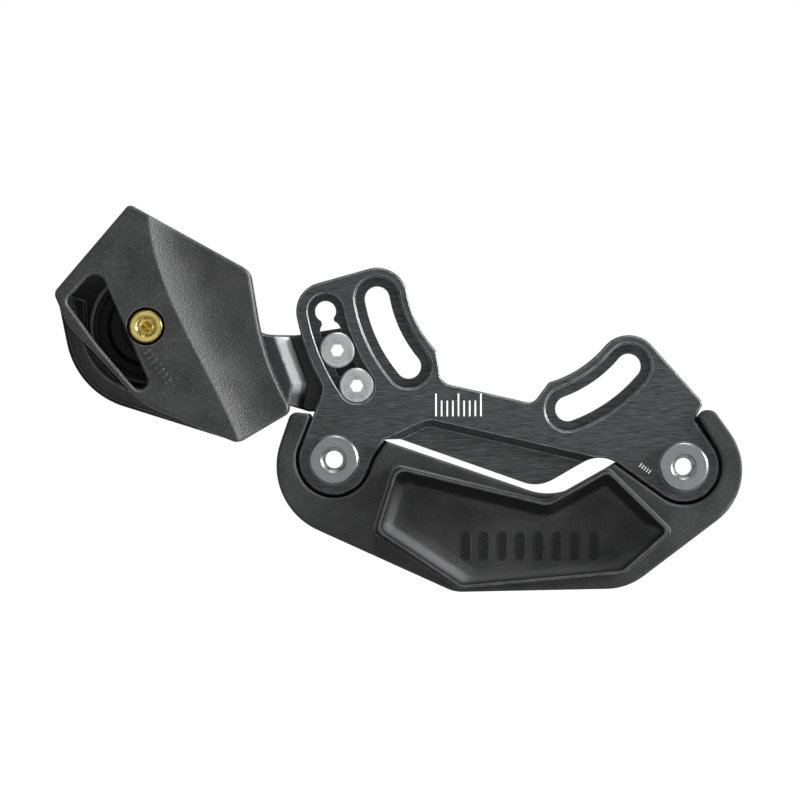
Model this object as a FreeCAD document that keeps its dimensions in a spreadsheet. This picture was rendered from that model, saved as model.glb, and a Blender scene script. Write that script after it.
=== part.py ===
# Chain guide with skid plate for a 34 to 36 tooth chainring, on the ISCG-05 slotted pattern.
# Frame: origin on the bottom bracket axis, in the plane of the frame's mounting tabs.
# X points forward, Z up and Y inboard, so the side that faces the viewer is at -Y.
# "Out" below is the distance outboard of the mounting plane, so out = -Y.

import FreeCAD
import Part
import Sketcher
import math
import os
from FreeCAD import Placement, Rotation, Vector

# Driving dimensions in millimetres and degrees: name, value, meaning.
SIZES = [
    ("mount_circle", 36.5, "radius of the mounting bolt pattern"),
    ("mount_slot_wide", 6.3, "width of the curved mounting slots"),
    ("mount_slot_sweep", 30.0, "angle between the end centres of a mounting slot"),
    ("mount_recess_wide", 12.2, "width of the recess round a mounting slot"),
    ("recess_break", 0.45, "bevel on the edges of the mounting recesses"),
    ("rear_slot_start", 190.0, "angle of the rear slot's first end"),
    ("front_slot_start", 290.0, "angle of the front slot's first end"),
    ("horn_wall", 4.75, "metal left round a mounting slot"),
    ("plate_thick", 5.0, "thickness of the back plate"),
    ("recess_deep", 2.5, "depth of the recesses in the back plate"),
    ("land_deep", 1.8, "depth of the stepped land under the plate's brace"),
    ("land_slope", 46.0, "slope of the step down to the land"),
    ("index_circle", "=mount_circle + 13.5", "radius of the index slot"),
    ("index_start", 191.0, "angle of the first index hole"),
    ("index_step", 5.9125, "angle from one index hole to the next"),
    ("index_hole", 5.3, "diameter of an index hole"),
    ("index_neck", 3.2, "width of the slot that joins the index holes"),
    ("index_recess", 9.6, "width of the recess round the index slot"),
    ("index_break", 0.22, "bevel on the edge of that recess"),
    ("index_edge", 7.44, "metal from the index circle to the plate's rear edge"),
    ("edge_break", 0.4, "bevel on the plate's outboard edges"),
    ("rear_ear_x", -46.9, "rear ear bolt, along X"),
    ("rear_ear_z", -47.2, "rear ear bolt, along Z"),
    ("front_ear_x", 41.9, "front ear bolt, along X"),
    ("front_ear_z", -49.0, "front ear bolt, along Z"),
    ("ear_round", 9.0, "radius of the plate's ears"),
    ("ear_gap", 0.7, "gap between an ear and the skid plate"),
    ("pad_thick", 4.0, "skid plate pad behind an ear"),
    ("guard_face", 6.5, "skid plate's flat face, out from the mounting plane"),
    ("rim_out", 11.5, "rim of the dished pocket, out from the mounting plane"),
    ("dish_floor", 5.4, "floor of the dished pocket, out from the mounting plane"),
    ("guard_wall", 2.6, "wall between the dished pocket and the ribbed back"),
    ("rib_thick", 1.8, "thickness of the ribs in the skid plate's back"),
    ("guard_round", 0.7, "rounding of the skid plate's outboard edge"),
    ("hollow_head", 12.3, "diameter of a skid plate bolt's head"),
    ("hollow_head_thick", 2.4, "thickness of that head"),
    ("hollow_seat_deep", 0.7, "depth of the spot face under that head"),
    ("hollow_shank", 7.9, "diameter of that bolt's shank"),
    ("hollow_bore", 4.5, "bore through that bolt"),
    ("hollow_key", 5.0, "hexagon key of that bolt"),
    ("hollow_key_deep", 2.8, "depth of that hexagon"),
    ("hollow_sink", 6.7, "diameter of the countersink round that hexagon"),
    ("hollow_sink_deep", 0.5, "depth of that countersink"),
    ("nut_flange", 13.0, "flange diameter of the nut behind a pad"),
    ("nut_flange_thick", 1.2, "thickness of that flange"),
    ("nut_barrel", 10.2, "diameter of the nut's barrel"),
    ("fit_gap", 0.1, "clearance round a fastener"),
    ("thread_gap", 0.03, "clearance that stands for a thread"),
    ("arm_thick", 4.0, "thickness of the arm"),
    ("arm_rise", 9.0, "outboard face of the arm's raised end"),
    ("arm_turn", 20.0, "direction of the arm's bend lines"),
    ("bend_start", 60.0, "start of the arm's ramp, from the bottom bracket axis"),
    ("bend_run", 3.47, "length of the ramp in plan"),
    ("bend_kink_at", -7.7, "height of the ramp's kink in the arm's frame"),
    ("bend_kink", 30.0, "angle of that kink"),
    ("arm_break", 0.6, "bevel on the arm's outboard edges"),
    ("arm_bolt_shank", 5.0, "diameter of an arm bolt's shank"),
    ("arm_bolt_head", 9.06, "diameter of an arm bolt's head"),
    ("arm_bolt_key", 3.0, "hexagon hole through an arm bolt"),
    ("axle_x", -93.7, "roller axle, along X"),
    ("axle_z", -13.65, "roller axle, along Z"),
    ("cage_wall", 3.0, "wall of the inner cage half"),
    ("cage_gap", 9.0, "clear width between the cage halves"),
    ("cage_edge", 67.0, "radius of the outer half's edge beside the chainring"),
    ("cage_lead", 0.15, "how far the inner half stands out past that edge"),
    ("cage_low", 2.5, "thickness of the outer half beside the chainring"),
    ("cage_high", 6.5, "thickness of the outer half on its raised flat"),
    ("cage_round", 0.8, "rounding of the outer half's edges"),
    ("scoop_wide", 13.0, "width of the concave scoop beside the ridge"),
    ("skirt_wall", 1.3, "thickness of the skirt at its top"),
    ("lip_tall", 1.2, "height of the skirt's lip above the outer half's inner face"),
    ("lip_gap", 0.4, "gap between that lip and the outer half"),
    ("lip_break", 0.3, "bevel on that lip"),
    ("window_break", 0.5, "bevel on the edge of the window"),
    ("skirt_reach", 21.0, "outer radius of the skirt's foot about the axle"),
    ("roller_round", 14.5, "outer radius of the roller"),
    ("roller_wide", 8.0, "width of the roller"),
    ("roller_gap", 0.9, "gap between the roller and the skirt"),
    ("tyre_thick", 0.9, "thickness of the roller's tyre"),
    ("hub_rim", 1.3, "rim of the roller's hub under the tyre"),
    ("hub_rim_wide", 5.2, "width of that rim"),
    ("hub_shoulder", 1.4, "step that covers the bearing's outer race"),
    ("hub_web", 2.4, "thickness of the hub's web"),
    ("hub_wall", 1.8, "wall of the hub round the bearing"),
    ("bearing_bore", 8.0, "bore of the bearing"),
    ("bearing_outer", 16.0, "outer diameter of the bearing"),
    ("bearing_wide", 5.0, "width of the bearing"),
    ("ball_circle", 12.0, "diameter of the circle through the balls"),
    ("ball_round", 1.2, "radius of a bearing ball"),
    ("ball_gap", 0.05, "clearance round a bearing ball"),
    ("race_wall_in", 1.2, "radial thickness of the inner race"),
    ("race_wall_out", 1.3, "radial thickness of the outer race"),
    ("shield_thick", 0.3, "thickness of a bearing shield"),
    ("ball_count", 9, "number of bearing balls"),
    ("cage_bolt_shank", 5.0, "diameter of the cage bolt's shank"),
    ("cage_bolt_head", 8.5, "diameter of the cage bolt's head"),
    ("cage_bolt_head_tall", 4.4, "height of that head"),
    ("cage_bolt_well", 9.6, "diameter of the well round that head"),
    ("cage_bolt_key", 4.0, "hexagon key of the cage bolt"),
    ("cage_bolt_key_deep", 2.2, "depth of that hexagon"),
    ("cage_bolt_sink", 5.3, "diameter of the countersink round that hexagon"),
    ("cage_bolt_sink_deep", 0.45, "depth of that countersink"),
    ("cage_bolt_drill", 3.4, "diameter of the drill point in that hexagon's floor"),
    ("bolt_tail", 0.5, "length of the cage bolt past the arm"),
    ("sleeve_flange", 10.0, "diameter of the sleeve's flange and of the spacer"),
    ("screw_shank", 4.0, "diameter of a cage screw"),
    ("screw_head", 7.5, "diameter of a cage screw's head"),
    ("screw_head_deep", 1.75, "depth of that head's cone"),
    ("screw_key", 2.5, "hexagon key of a cage screw"),
    ("dowel", 2.6, "diameter of the pin that locates the outer half"),
    ("dowel_post", 5.0, "diameter of the post that carries that pin"),
    ("dowel_long", 1.5, "length of that pin"),
]

doc = FreeCAD.newDocument("ChainGuide")
sheet = doc.addObject("Spreadsheet::Sheet", "Sizes")
for row, (alias, value, meaning) in enumerate(SIZES, start=1):
    sheet.set("A%d" % row, meaning)
    sheet.set("B%d" % row, str(value))
    sheet.setAlias("B%d" % row, alias)
doc.recompute()


def size(alias):
    """The value of one driving dimension."""
    return float(sheet.get(alias))


def polar(radius, degrees):
    """A point on a circle about the bottom bracket axis."""
    angle = math.radians(degrees)
    return radius * math.cos(angle), radius * math.sin(angle)


# Outlines are drawn as a belt that runs anticlockwise round pegs and corners.
# A peg is a circle that the belt wraps, a hollow peg one that it bends round from inside,
# and a corner a point where two straight runs meet, with its own rounding.


def peg(centre, radius):
    return ("peg", centre[0], centre[1], radius)


def hollow(centre, radius):
    return ("peg", centre[0], centre[1], -radius)


def corner(across, up, radius=0.0):
    return ("corner", across, up, radius)


def belt_radius(item):
    """Radius that a straight run is tangent to."""
    return item[3] if item[0] == "peg" else 0.0


def straight_run(first, second):
    """Start, end and heading of the tangent between two pegs or corners."""
    across = second[1] - first[1]
    up = second[2] - first[2]
    near, far = belt_radius(first), belt_radius(second)
    lean = (near - far) / math.hypot(across, up)
    heading = math.atan2(up, across) + math.asin(max(-1.0, min(1.0, lean)))
    side = (math.sin(heading), -math.cos(heading))
    start = (first[1] + near * side[0], first[2] + near * side[1])
    end = (second[1] + far * side[0], second[2] + far * side[1])
    if math.dist(start, end) < 0.001:
        end = start
    return start, end, heading


def arc_between(centre, radius, start, end, leftwards):
    """Arc from start to end about a centre, turning left or right."""
    first, last = (start, end) if leftwards else (end, start)
    begin = math.atan2(first[1] - centre[1], first[0] - centre[0])
    finish = math.atan2(last[1] - centre[1], last[0] - centre[0])
    if finish <= begin:
        finish += 2.0 * math.pi
    circle = Part.Circle(Vector(centre[0], centre[1], 0), Vector(0, 0, 1), radius)
    return Part.ArcOfCircle(circle, begin, finish)


def belt(items):
    """Lines and arcs of the closed outline round the given pegs and corners."""
    count = len(items)
    runs = [list(straight_run(items[i], items[(i + 1) % count])) for i in range(count)]
    arcs = []
    for i, item in enumerate(items):
        arriving, leaving = runs[i - 1], runs[i]
        if item[0] == "peg":
            arcs.append(((item[1], item[2]), abs(item[3]), item[3] > 0))
            continue
        turn = math.remainder(leaving[2] - arriving[2], 2.0 * math.pi)
        if item[3] == 0.0 or abs(turn) < 0.0001:
            arcs.append(None)
            continue
        trim = item[3] * math.tan(abs(turn) / 2.0)
        side = math.copysign(item[3], turn)
        back = (-math.cos(arriving[2]), -math.sin(arriving[2]))
        ahead = (math.cos(leaving[2]), math.sin(leaving[2]))
        arriving[1] = (item[1] + trim * back[0], item[2] + trim * back[1])
        leaving[0] = (item[1] + trim * ahead[0], item[2] + trim * ahead[1])
        centre = (arriving[1][0] + side * back[1], arriving[1][1] - side * back[0])
        arcs.append((centre, item[3], turn > 0))
    shapes = []
    for i in range(count):
        if arcs[i] and math.dist(runs[i - 1][1], runs[i][0]) > 0.001:
            shapes.append(arc_between(arcs[i][0], arcs[i][1], runs[i - 1][1], runs[i][0], arcs[i][2]))
        if math.dist(runs[i][0], runs[i][1]) > 0.001:
            start, end = runs[i][0], runs[i][1]
            shapes.append(Part.LineSegment(Vector(start[0], start[1], 0), Vector(end[0], end[1], 0)))
    return shapes


def moved_sides(corners, distances, rounding):
    """Corners of an outline whose sides are moved inwards, or outwards where below zero."""
    count = len(corners)
    sides = []
    for i in range(count):
        here, there = corners[i], corners[(i + 1) % count]
        heading = math.atan2(there[2] - here[2], there[1] - here[1])
        normal = (-math.sin(heading), math.cos(heading))
        sides.append((normal, normal[0] * here[1] + normal[1] * here[2] + distances[i]))
    moved = []
    for i in range(count):
        (a, b), c = sides[i - 1]
        (d, e), f = sides[i]
        scale = a * e - b * d
        moved.append(corner((c * e - b * f) / scale, (a * f - c * d) / scale, rounding[i]))
    return moved


def origin_part(body, role):
    """One of a body's own origin planes or axes."""
    return [item for item in body.Origin.OriginFeatures if item.Role == role][0]


def new_body(label):
    body = doc.addObject("PartDesign::Body", label)
    body.Label = label
    return body


def sketch_on(body, name, out, plane="XZ_Plane"):
    """A sketch that faces outboard, at a distance out given as an expression."""
    sketch = body.newObject("Sketcher::SketchObject", name)
    sketch.AttachmentSupport = [(origin_part(body, plane), "")]
    sketch.MapMode = "FlatFace"
    sketch.setExpression("AttachmentOffset.Base.z", out)
    return sketch


def outline_on(body, name, out, *outlines):
    """A sketch that holds one or more belts."""
    sketch = sketch_on(body, name, out)
    for items in outlines:
        sketch.addGeometry(belt(items), False)
    return sketch


def circle_on(body, name, out, across, up, diameter):
    """A sketch of one circle whose place and diameter are bound to the sheet."""
    sketch = sketch_on(body, name, out)
    sketch.addGeometry(Part.Circle(Vector(1, 1, 0), Vector(0, 0, 1), 1.0), False)
    sketch.addConstraint(Sketcher.Constraint("Diameter", 0, 2.0))
    sketch.setExpression("Constraints[0]", diameter)
    if across == "0" and up == "0":
        sketch.addConstraint(Sketcher.Constraint("Coincident", 0, 3, -1, 1))
        return sketch
    sketch.addConstraint(Sketcher.Constraint("DistanceX", -1, 1, 0, 3, 1.0))
    sketch.setExpression("Constraints[1]", across)
    sketch.addConstraint(Sketcher.Constraint("DistanceY", -1, 1, 0, 3, 1.0))
    sketch.setExpression("Constraints[2]", up)
    return sketch


def extrude(body, kind, name, profile, length, taper=None):
    """A Pad outboard from its sketch, or a Pocket inboard from it."""
    feature = body.newObject("PartDesign::" + kind, name)
    feature.Profile = profile
    feature.Type = "Length"
    feature.setExpression("Length", length)
    if taper:
        feature.setExpression("TaperAngle", taper)
    profile.Visibility = False
    return feature


def pad(body, name, profile, length, taper=None):
    return extrude(body, "Pad", name, profile, length, taper)


def pocket(body, name, profile, depth, taper=None):
    """A Pocket that has to take material away."""
    doc.recompute()
    before = body.Shape.Volume
    feature = extrude(body, "Pocket", name, profile, depth, taper)
    doc.recompute()
    if not body.Shape.Volume < before - 0.001:
        raise RuntimeError("%s in %s cuts nothing" % (name, body.Label))
    return feature


def hexagon(across_flats, centre=(0.0, 0.0)):
    """Corners of a hexagonal key socket."""
    reach = across_flats / math.sqrt(3.0)
    points = [polar(reach, 60.0 * turn) for turn in range(6)]
    return [corner(centre[0] + point[0], centre[1] + point[1]) for point in points]


def turned(label, profile):
    """A turned piece about its own Y axis, from corners given as radius and distance out."""
    body = new_body(label)
    sketch = body.newObject("Sketcher::SketchObject", label + "_profile")
    sketch.AttachmentSupport = [(origin_part(body, "XY_Plane"), "")]
    sketch.MapMode = "FlatFace"
    mirrored = [(kind, radius, -out, rounding) for kind, radius, out, rounding in profile]
    sketch.addGeometry(belt(mirrored[::-1]), False)
    doc.recompute()
    feature = body.newObject("PartDesign::Revolution", label + "_turning")
    feature.Profile = sketch
    feature.ReferenceAxis = (sketch, ["V_Axis"])
    feature.Angle = 360.0
    sketch.Visibility = False
    doc.recompute()
    return body


def place_at(body, across, up, out="0"):
    """Puts a piece on its axis: X, Z and the distance out, each as an expression."""
    body.setExpression("Placement.Base.x", across)
    body.setExpression("Placement.Base.z", up)
    body.setExpression("Placement.Base.y", "-(" + out + ")")


def edges_at(shape, out, longest=0.0):
    """Names of the edges that lie wholly in the plane at a distance out."""
    names = []
    for number, edge in enumerate(shape.Edges, start=1):
        box = edge.BoundBox
        if abs(box.YMin + out) < 0.001 and abs(box.YMax + out) < 0.001 and edge.Length > longest:
            names.append("Edge%d" % number)
    return names


def edge_place(shape, name):
    """Where the middle of an edge is, rounded so that it can be found again."""
    middle = shape.getElement(name).CenterOfMass
    return round(middle.x, 2), round(middle.z, 2)


def outline_places(shape, out):
    """Places of the edges that lie wholly in the plane at a distance out."""
    return {edge_place(shape, name) for name in edges_at(shape, out)}


def rim_edges(shape, low, high):
    """Names of the edges between a wall and the face outboard of it, between two levels."""
    names = []
    for number, edge in enumerate(shape.Edges, start=1):
        if -edge.BoundBox.YMax < low or -edge.BoundBox.YMin > high or len(edge.Vertexes) < 2:
            continue
        leans = []
        for face in shape.ancestorsOfType(edge, Part.Face):
            first, last, start, end = face.ParameterRange
            leans.append(face.normalAt((first + last) / 2.0, (start + end) / 2.0).y)
        walls = sum(1 for lean in leans if abs(lean) < 0.02)
        outward = sum(1 for lean in leans if lean <= -0.02)
        if walls == 1 and outward == 1:
            names.append("Edge%d" % number)
    return names


def dress(body, kind, name, edges, amount):
    """A Fillet or a Chamfer on the named edges of the body's tip."""
    base = body.Tip
    feature = body.newObject("PartDesign::" + kind, name)
    feature.Base = (base, edges)
    if kind == "Fillet":
        feature.setExpression("Radius", amount)
    else:
        feature.ChamferType = "Equal distance"
        feature.setExpression("Size", amount)
    doc.recompute()
    return feature


AXIS = (0.0, 0.0)
AXLE = (size("axle_x"), size("axle_z"))
REAR_EAR = (size("rear_ear_x"), size("rear_ear_z"))
FRONT_EAR = (size("front_ear_x"), size("front_ear_z"))
INDEX_HOLES = [
    polar(size("index_circle"), size("index_start") + size("index_step") * step) for step in range(5)
]

# Angles on the plate's outline, in degrees about the bottom bracket axis.
WAIST_ANGLE = 208.6
WAIST_ROUND = 4.0
OPENING_START = 222.4
OPENING_END = 286.7
OPENING_ROUND = 1.5


def slot_belt(circle, first, last, half_width):
    """A slot that follows a circle about the bottom bracket axis."""
    return [
        peg(AXIS, circle + half_width),
        peg(polar(circle, last), half_width),
        hollow(AXIS, circle - half_width),
        peg(polar(circle, first), half_width),
    ]


def plate_belt():
    """Outline of the back plate, from the top of its index slot down and round."""
    horn = size("mount_slot_wide") / 2.0 + size("horn_wall")
    inner_edge = size("mount_circle") - horn
    rear_edge = size("index_circle") + size("index_edge")
    front_horn = size("front_slot_start") + size("mount_slot_sweep")
    ear = size("ear_round")
    return [
        peg(INDEX_HOLES[0], size("index_edge")),
        peg(AXIS, rear_edge),
        hollow(polar(rear_edge + WAIST_ROUND, WAIST_ANGLE), WAIST_ROUND),
        peg(REAR_EAR, ear),
        corner(-37.2, -46.9, 6.0),
        corner(-34.0, -42.1, 0.8),
        corner(-30.1, -42.0, 0.8),
        corner(5.09, -54.39, 9.0),
        corner(21.0, -45.27, 8.0),
        peg(FRONT_EAR, ear),
        corner(44.56, -37.07, 1.2),
        corner(46.95, -32.83, 1.5),
        peg(polar(size("mount_circle"), front_horn), horn),
        hollow(AXIS, inner_edge),
        peg(polar(inner_edge + OPENING_ROUND, OPENING_END), OPENING_ROUND),
        corner(*polar(inner_edge + 4.55, 276.4), 2.5),
        corner(*polar(inner_edge + 5.25, 234.9), 3.0),
        peg(polar(inner_edge + OPENING_ROUND, OPENING_START), OPENING_ROUND),
        hollow(AXIS, inner_edge),
        peg(polar(size("mount_circle"), size("rear_slot_start")), horn),
    ]


def back_plate():
    """Milled plate: curved mounting slots, index slot, stepped land and two ears."""
    body = new_body("back_plate")
    pad(body, "PlateBlank", outline_on(body, "PlateOutline", "0", plate_belt()), "Sizes.plate_thick")
    doc.recompute()
    dress(body, "Chamfer", "PlateEdge", edges_at(body.Shape, size("plate_thick")), "Sizes.edge_break")
    face = "Sizes.plate_thick"
    deep = "Sizes.recess_deep"
    for name, start in (("Rear", size("rear_slot_start")), ("Front", size("front_slot_start"))):
        end = start + size("mount_slot_sweep")
        circle = size("mount_circle")
        rim = size("mount_recess_wide") / 2.0
        wide = slot_belt(circle, start, end, rim)
        bevel = outline_on(body, name + "BevelOutline", face, wide)
        pocket(body, name + "Bevel", bevel, "Sizes.recess_break", "-45")
        wide = slot_belt(circle, start, end, rim - size("recess_break"))
        pocket(body, name + "Recess", outline_on(body, name + "RecessOutline", face, wide), deep)
        narrow = slot_belt(circle, start, end, size("mount_slot_wide") / 2.0)
        pocket(body, name + "Slot", outline_on(body, name + "SlotOutline", face, narrow), face)
    first = size("index_start")
    last = first + 4.0 * size("index_step")
    circle = size("index_circle")
    wide = slot_belt(circle, first, last, size("index_recess") / 2.0)
    bevel = outline_on(body, "IndexBevelOutline", face, wide)
    pocket(body, "IndexBevel", bevel, "Sizes.index_break", "-45")
    wide = slot_belt(circle, first, last, size("index_recess") / 2.0 - size("index_break"))
    pocket(body, "IndexRecess", outline_on(body, "IndexRecessOutline", face, wide), deep)
    narrow = slot_belt(circle, first, last, size("index_neck") / 2.0)
    pocket(body, "IndexNeck", outline_on(body, "IndexNeckOutline", face, narrow), face)
    across = "Sizes.index_circle * cos(Sizes.index_start * 1 deg)"
    up = "Sizes.index_circle * sin(Sizes.index_start * 1 deg)"
    hole = pocket(
        body,
        "IndexHole",
        circle_on(body, "IndexHoleOutline", face, across, up, "Sizes.index_hole"),
        face,
    )
    holes = body.newObject("PartDesign::PolarPattern", "IndexHoles")
    holes.Originals = [hole]
    holes.Axis = (origin_part(body, "Y_Axis"), [""])
    holes.Reversed = True
    holes.Mode = "Spacing"
    holes.setExpression("Offset", "Sizes.index_step")
    holes.Occurrences = len(INDEX_HOLES)
    body.Tip = holes
    doc.recompute()
    land = [
        corner(-34.2, -42.0),
        corner(-33.5, -49.0),
        corner(5.0, -62.0),
        corner(20.6, -50.0),
        corner(20.6, -46.75),
        corner(-21.9, -37.0, 2.5),
        corner(-24.2, -37.3, 2.5),
    ]
    land = outline_on(body, "LandOutline", face, land)
    pocket(body, "Land", land, "Sizes.land_deep", "-Sizes.land_slope")
    for name, across, up in (
        ("RearEar", "Sizes.rear_ear_x", "Sizes.rear_ear_z"),
        ("FrontEar", "Sizes.front_ear_x", "Sizes.front_ear_z"),
    ):
        seat = "Sizes.hollow_head + 4 * Sizes.fit_gap"
        pocket(
            body,
            name + "Seat",
            circle_on(body, name + "SeatOutline", face, across, up, seat),
            "Sizes.hollow_seat_deep",
        )
        bore = "Sizes.hollow_shank + 2 * Sizes.fit_gap"
        pocket(body, name + "Bore", circle_on(body, name + "BoreOutline", face, across, up, bore), face)
    return body


def disc(body, name, out, diameter, length):
    """A round boss about the body's own Y axis, all three bound to the sheet."""
    return pad(body, name, circle_on(body, name + "Outline", out, "0", "0", diameter), length)


def bore(body, name, out, diameter, depth, across="0", up="0", taper=None):
    """A round hole that goes inboard from a distance out."""
    profile = circle_on(body, name + "Outline", out, across, up, diameter)
    return pocket(body, name, profile, depth, taper)


def key_socket(body, out, across_flats, depth):
    """The hexagonal socket in a bolt's head."""
    profile = outline_on(body, body.Label + "_key", out, hexagon(size(across_flats)))
    return pocket(body, body.Label + "_socket", profile, depth)


# Dished pocket of the skid plate: corners of its rim, anticlockwise from the top rear one.
DISH = [
    corner(-30.9, -49.3),
    corner(-35.9, -65.1),
    corner(-14.6, -79.2),
    corner(26.2, -75.5),
    corner(37.9, -65.3),
    corner(22.4, -50.1),
    corner(7.2, -58.6),
]
DISH_RIM_ROUND = [2.5, 2.5, 2.5, 2.5, 1.6, 1.8, 5.0]
DISH_FLOOR_ROUND = [3.0, 3.0, 3.0, 3.0, 3.0, 3.0, 9.0]
DISH_FOOT_SPREAD = [-1.2, -1.1, -0.5, -0.9, -1.0, -0.9, -0.9]
DISH_SIDE_WIDTH = [5.6, 5.4, 3.6, 4.6, 4.6, 4.8, 5.2]
RIM_WIDTH = 0.55
# How far the pocket's walls have come in, as a share of their width, against their depth.
DISH_CURVE = [(-0.1, -0.04), (0.15, 0.05), (0.45, 0.18), (0.8, 0.5), (1.0, 1.0)]


def dish_section(share_in):
    """Outline of the dished pocket where its walls have come in by a share of their width."""
    moves = [RIM_WIDTH / 2.0 + share_in * width for width in DISH_SIDE_WIDTH]
    blend = max(0.0, share_in)
    rounding = [
        rim + blend * (floor - rim) for rim, floor in zip(DISH_RIM_ROUND, DISH_FLOOR_ROUND)
    ]
    return moved_sides(DISH, moves, rounding)


def guard_belt(front_pocket, rear_pocket):
    """Outline of the skid plate, whose pockets for the plate's ears are open or filled."""
    return [
        peg((-56.3, -37.4), 2.2),
        peg((-43.6, -48.8), 17.9),
        corner(-16.3, -80.8, 9.0),
        corner(27.55, -79.9, 16.0),
        peg((40.6, -49.8), 16.1),
        peg((48.2, -37.2), 2.6),
        corner(45.6, -36.2, 0.8),
        *front_pocket,
        corner(24.1, -48.3, 1.0),
        corner(9.4, -57.35, 15.0),
        corner(-33.5, -42.6, 0.8),
        *rear_pocket,
        corner(-52.8, -35.6, 0.9),
    ]


def crossings(corners, across):
    """Lowest and highest point of an outline on an upright line."""
    heights = []
    for here, there in zip(corners, corners[1:] + corners[:1]):
        if (here[1] - across) * (there[1] - across) < 0:
            share = (across - here[1]) / (there[1] - here[1])
            heights.append(here[2] + share * (there[2] - here[2]))
    return min(heights), max(heights)


def bash_guard():
    """Moulded skid plate: ear pads, dished pocket with a raised rim, ribbed back."""
    body = new_body("bash_guard")
    bend = size("ear_round") + size("ear_gap")
    filled = guard_belt([corner(34.0, -42.5, 4.0)], [corner(-41.0, -38.8, 4.0), corner(-51.5, -38.8, 2.0)])
    pad(body, "Pads", outline_on(body, "PadsOutline", "-Sizes.pad_thick", filled), "Sizes.pad_thick")
    opened = guard_belt([hollow(FRONT_EAR, bend)], [corner(-36.5, -47.15, 5.0), hollow(REAR_EAR, bend)])
    pad(body, "Shell", outline_on(body, "ShellOutline", "0", opened), "Sizes.guard_face")
    doc.recompute()
    dress(body, "Fillet", "ShellEdge", edges_at(body.Shape, size("guard_face")), "Sizes.guard_round")

    foot = outline_on(
        body,
        "RimFoot",
        "Sizes.guard_face - Sizes.guard_round",
        moved_sides(DISH, DISH_FOOT_SPREAD, DISH_RIM_ROUND),
    )
    crest = outline_on(
        body,
        "RimCrest",
        "Sizes.rim_out",
        moved_sides(DISH, [-RIM_WIDTH / 2.0] * len(DISH), DISH_RIM_ROUND),
    )
    rim = body.newObject("PartDesign::AdditiveLoft", "Rim")
    rim.Profile = foot
    rim.Sections = [crest]
    doc.recompute()

    sections = []
    for number, (down, share_in) in enumerate(DISH_CURVE):
        out = "Sizes.rim_out - %g * (Sizes.rim_out - Sizes.dish_floor)" % down
        sections.append(outline_on(body, "DishLevel%d" % number, out, dish_section(share_in)))
    before = body.Shape.Volume
    dish = body.newObject("PartDesign::SubtractiveLoft", "Dish")
    dish.Profile = sections[0]
    dish.Sections = sections[1:]
    doc.recompute()
    if not body.Shape.Volume < before - 1.0:
        raise RuntimeError("the dished pocket cuts nothing")

    relief = moved_sides(DISH, [2.4] * len(DISH), DISH_RIM_ROUND)
    ceiling = "Sizes.dish_floor - Sizes.guard_wall"
    depth = ceiling + " + Sizes.pad_thick"
    pocket(body, "BackRelief", outline_on(body, "BackReliefOutline", ceiling, relief), depth)
    ribs = []
    for across in (-22.0, -11.0, 0.0, 11.0, 22.0):
        low, high = crossings(relief, across)
        left, right = across - size("rib_thick") / 2.0, across + size("rib_thick") / 2.0
        ribs.append(
            [
                corner(left, low - 1.0),
                corner(right, low - 1.0),
                corner(right, high + 1.0),
                corner(left, high + 1.0),
            ]
        )
    pad(body, "Ribs", outline_on(body, "RibsOutline", "-Sizes.pad_thick", *ribs), depth)

    for name, ear in (("Rear", "rear_ear"), ("Front", "front_ear")):
        across, up = "Sizes.%s_x" % ear, "Sizes.%s_z" % ear
        barrel = "Sizes.nut_barrel + 2 * Sizes.fit_gap"
        bore(body, name + "NutBore", "0", barrel, "Sizes.pad_thick", across, up)
        seat = hexagon(size("nut_flange") + 2.0 * size("fit_gap"), (size(ear + "_x"), size(ear + "_z")))
        seat_out = "Sizes.nut_flange_thick - Sizes.pad_thick"
        pocket(
            body,
            name + "NutSeat",
            outline_on(body, name + "NutSeatOutline", seat_out, seat),
            "Sizes.nut_flange_thick",
        )
    return body


def hollow_bolt(label, ear):
    """Low-head hollow bolt that holds an ear and the skid plate's pad together."""
    body = new_body(label)
    under_head = "Sizes.plate_thick - Sizes.hollow_seat_deep"
    head_top = under_head + " + Sizes.hollow_head_thick"
    tail = "Sizes.nut_flange_thick / 4 - Sizes.pad_thick"
    disc(body, label + "_shank", tail, "Sizes.hollow_shank", "%s - (%s)" % (under_head, tail))
    disc(body, label + "_head", under_head, "Sizes.hollow_head", "Sizes.hollow_head_thick")
    doc.recompute()
    top = size("plate_thick") - size("hollow_seat_deep") + size("hollow_head_thick")
    dress(body, "Chamfer", label + "_edge", edges_at(body.Shape, top), "Sizes.edge_break")
    length = "%s - (%s)" % (head_top, tail)
    bore(body, label + "_sink", head_top, "Sizes.hollow_sink", "Sizes.hollow_sink_deep", taper="-45")
    bore(body, label + "_bore", head_top, "Sizes.hollow_bore", length)
    key_socket(body, head_top, "hollow_key", "Sizes.hollow_key_deep")
    place_at(body, "Sizes.%s_x" % ear, "Sizes.%s_z" % ear)
    return body


def flanged_nut(label, ear):
    """Nut with a hexagonal flange, let into the back of a pad."""
    body = new_body(label)
    back = "-Sizes.pad_thick"
    flange = outline_on(body, label + "_flange", back, hexagon(size("nut_flange")))
    pad(body, label + "_plate", flange, "Sizes.nut_flange_thick")
    shelf = "Sizes.nut_flange_thick - Sizes.pad_thick"
    disc(body, label + "_barrel", shelf, "Sizes.nut_barrel", "-(%s) - Sizes.fit_gap" % shelf)
    thread = "Sizes.hollow_shank + 2 * Sizes.thread_gap"
    bore(body, label + "_thread", "0", thread, "Sizes.pad_thick")
    place_at(body, "Sizes.%s_x" % ear, "Sizes.%s_z" % ear)
    return body


def in_arm_frame(point):
    """A point in the frame that is turned with the arm's bend lines."""
    angle = math.radians(size("arm_turn"))
    across = point[0] * math.cos(angle) + point[1] * math.sin(angle)
    up = point[1] * math.cos(angle) - point[0] * math.sin(angle)
    return across, up


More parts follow.
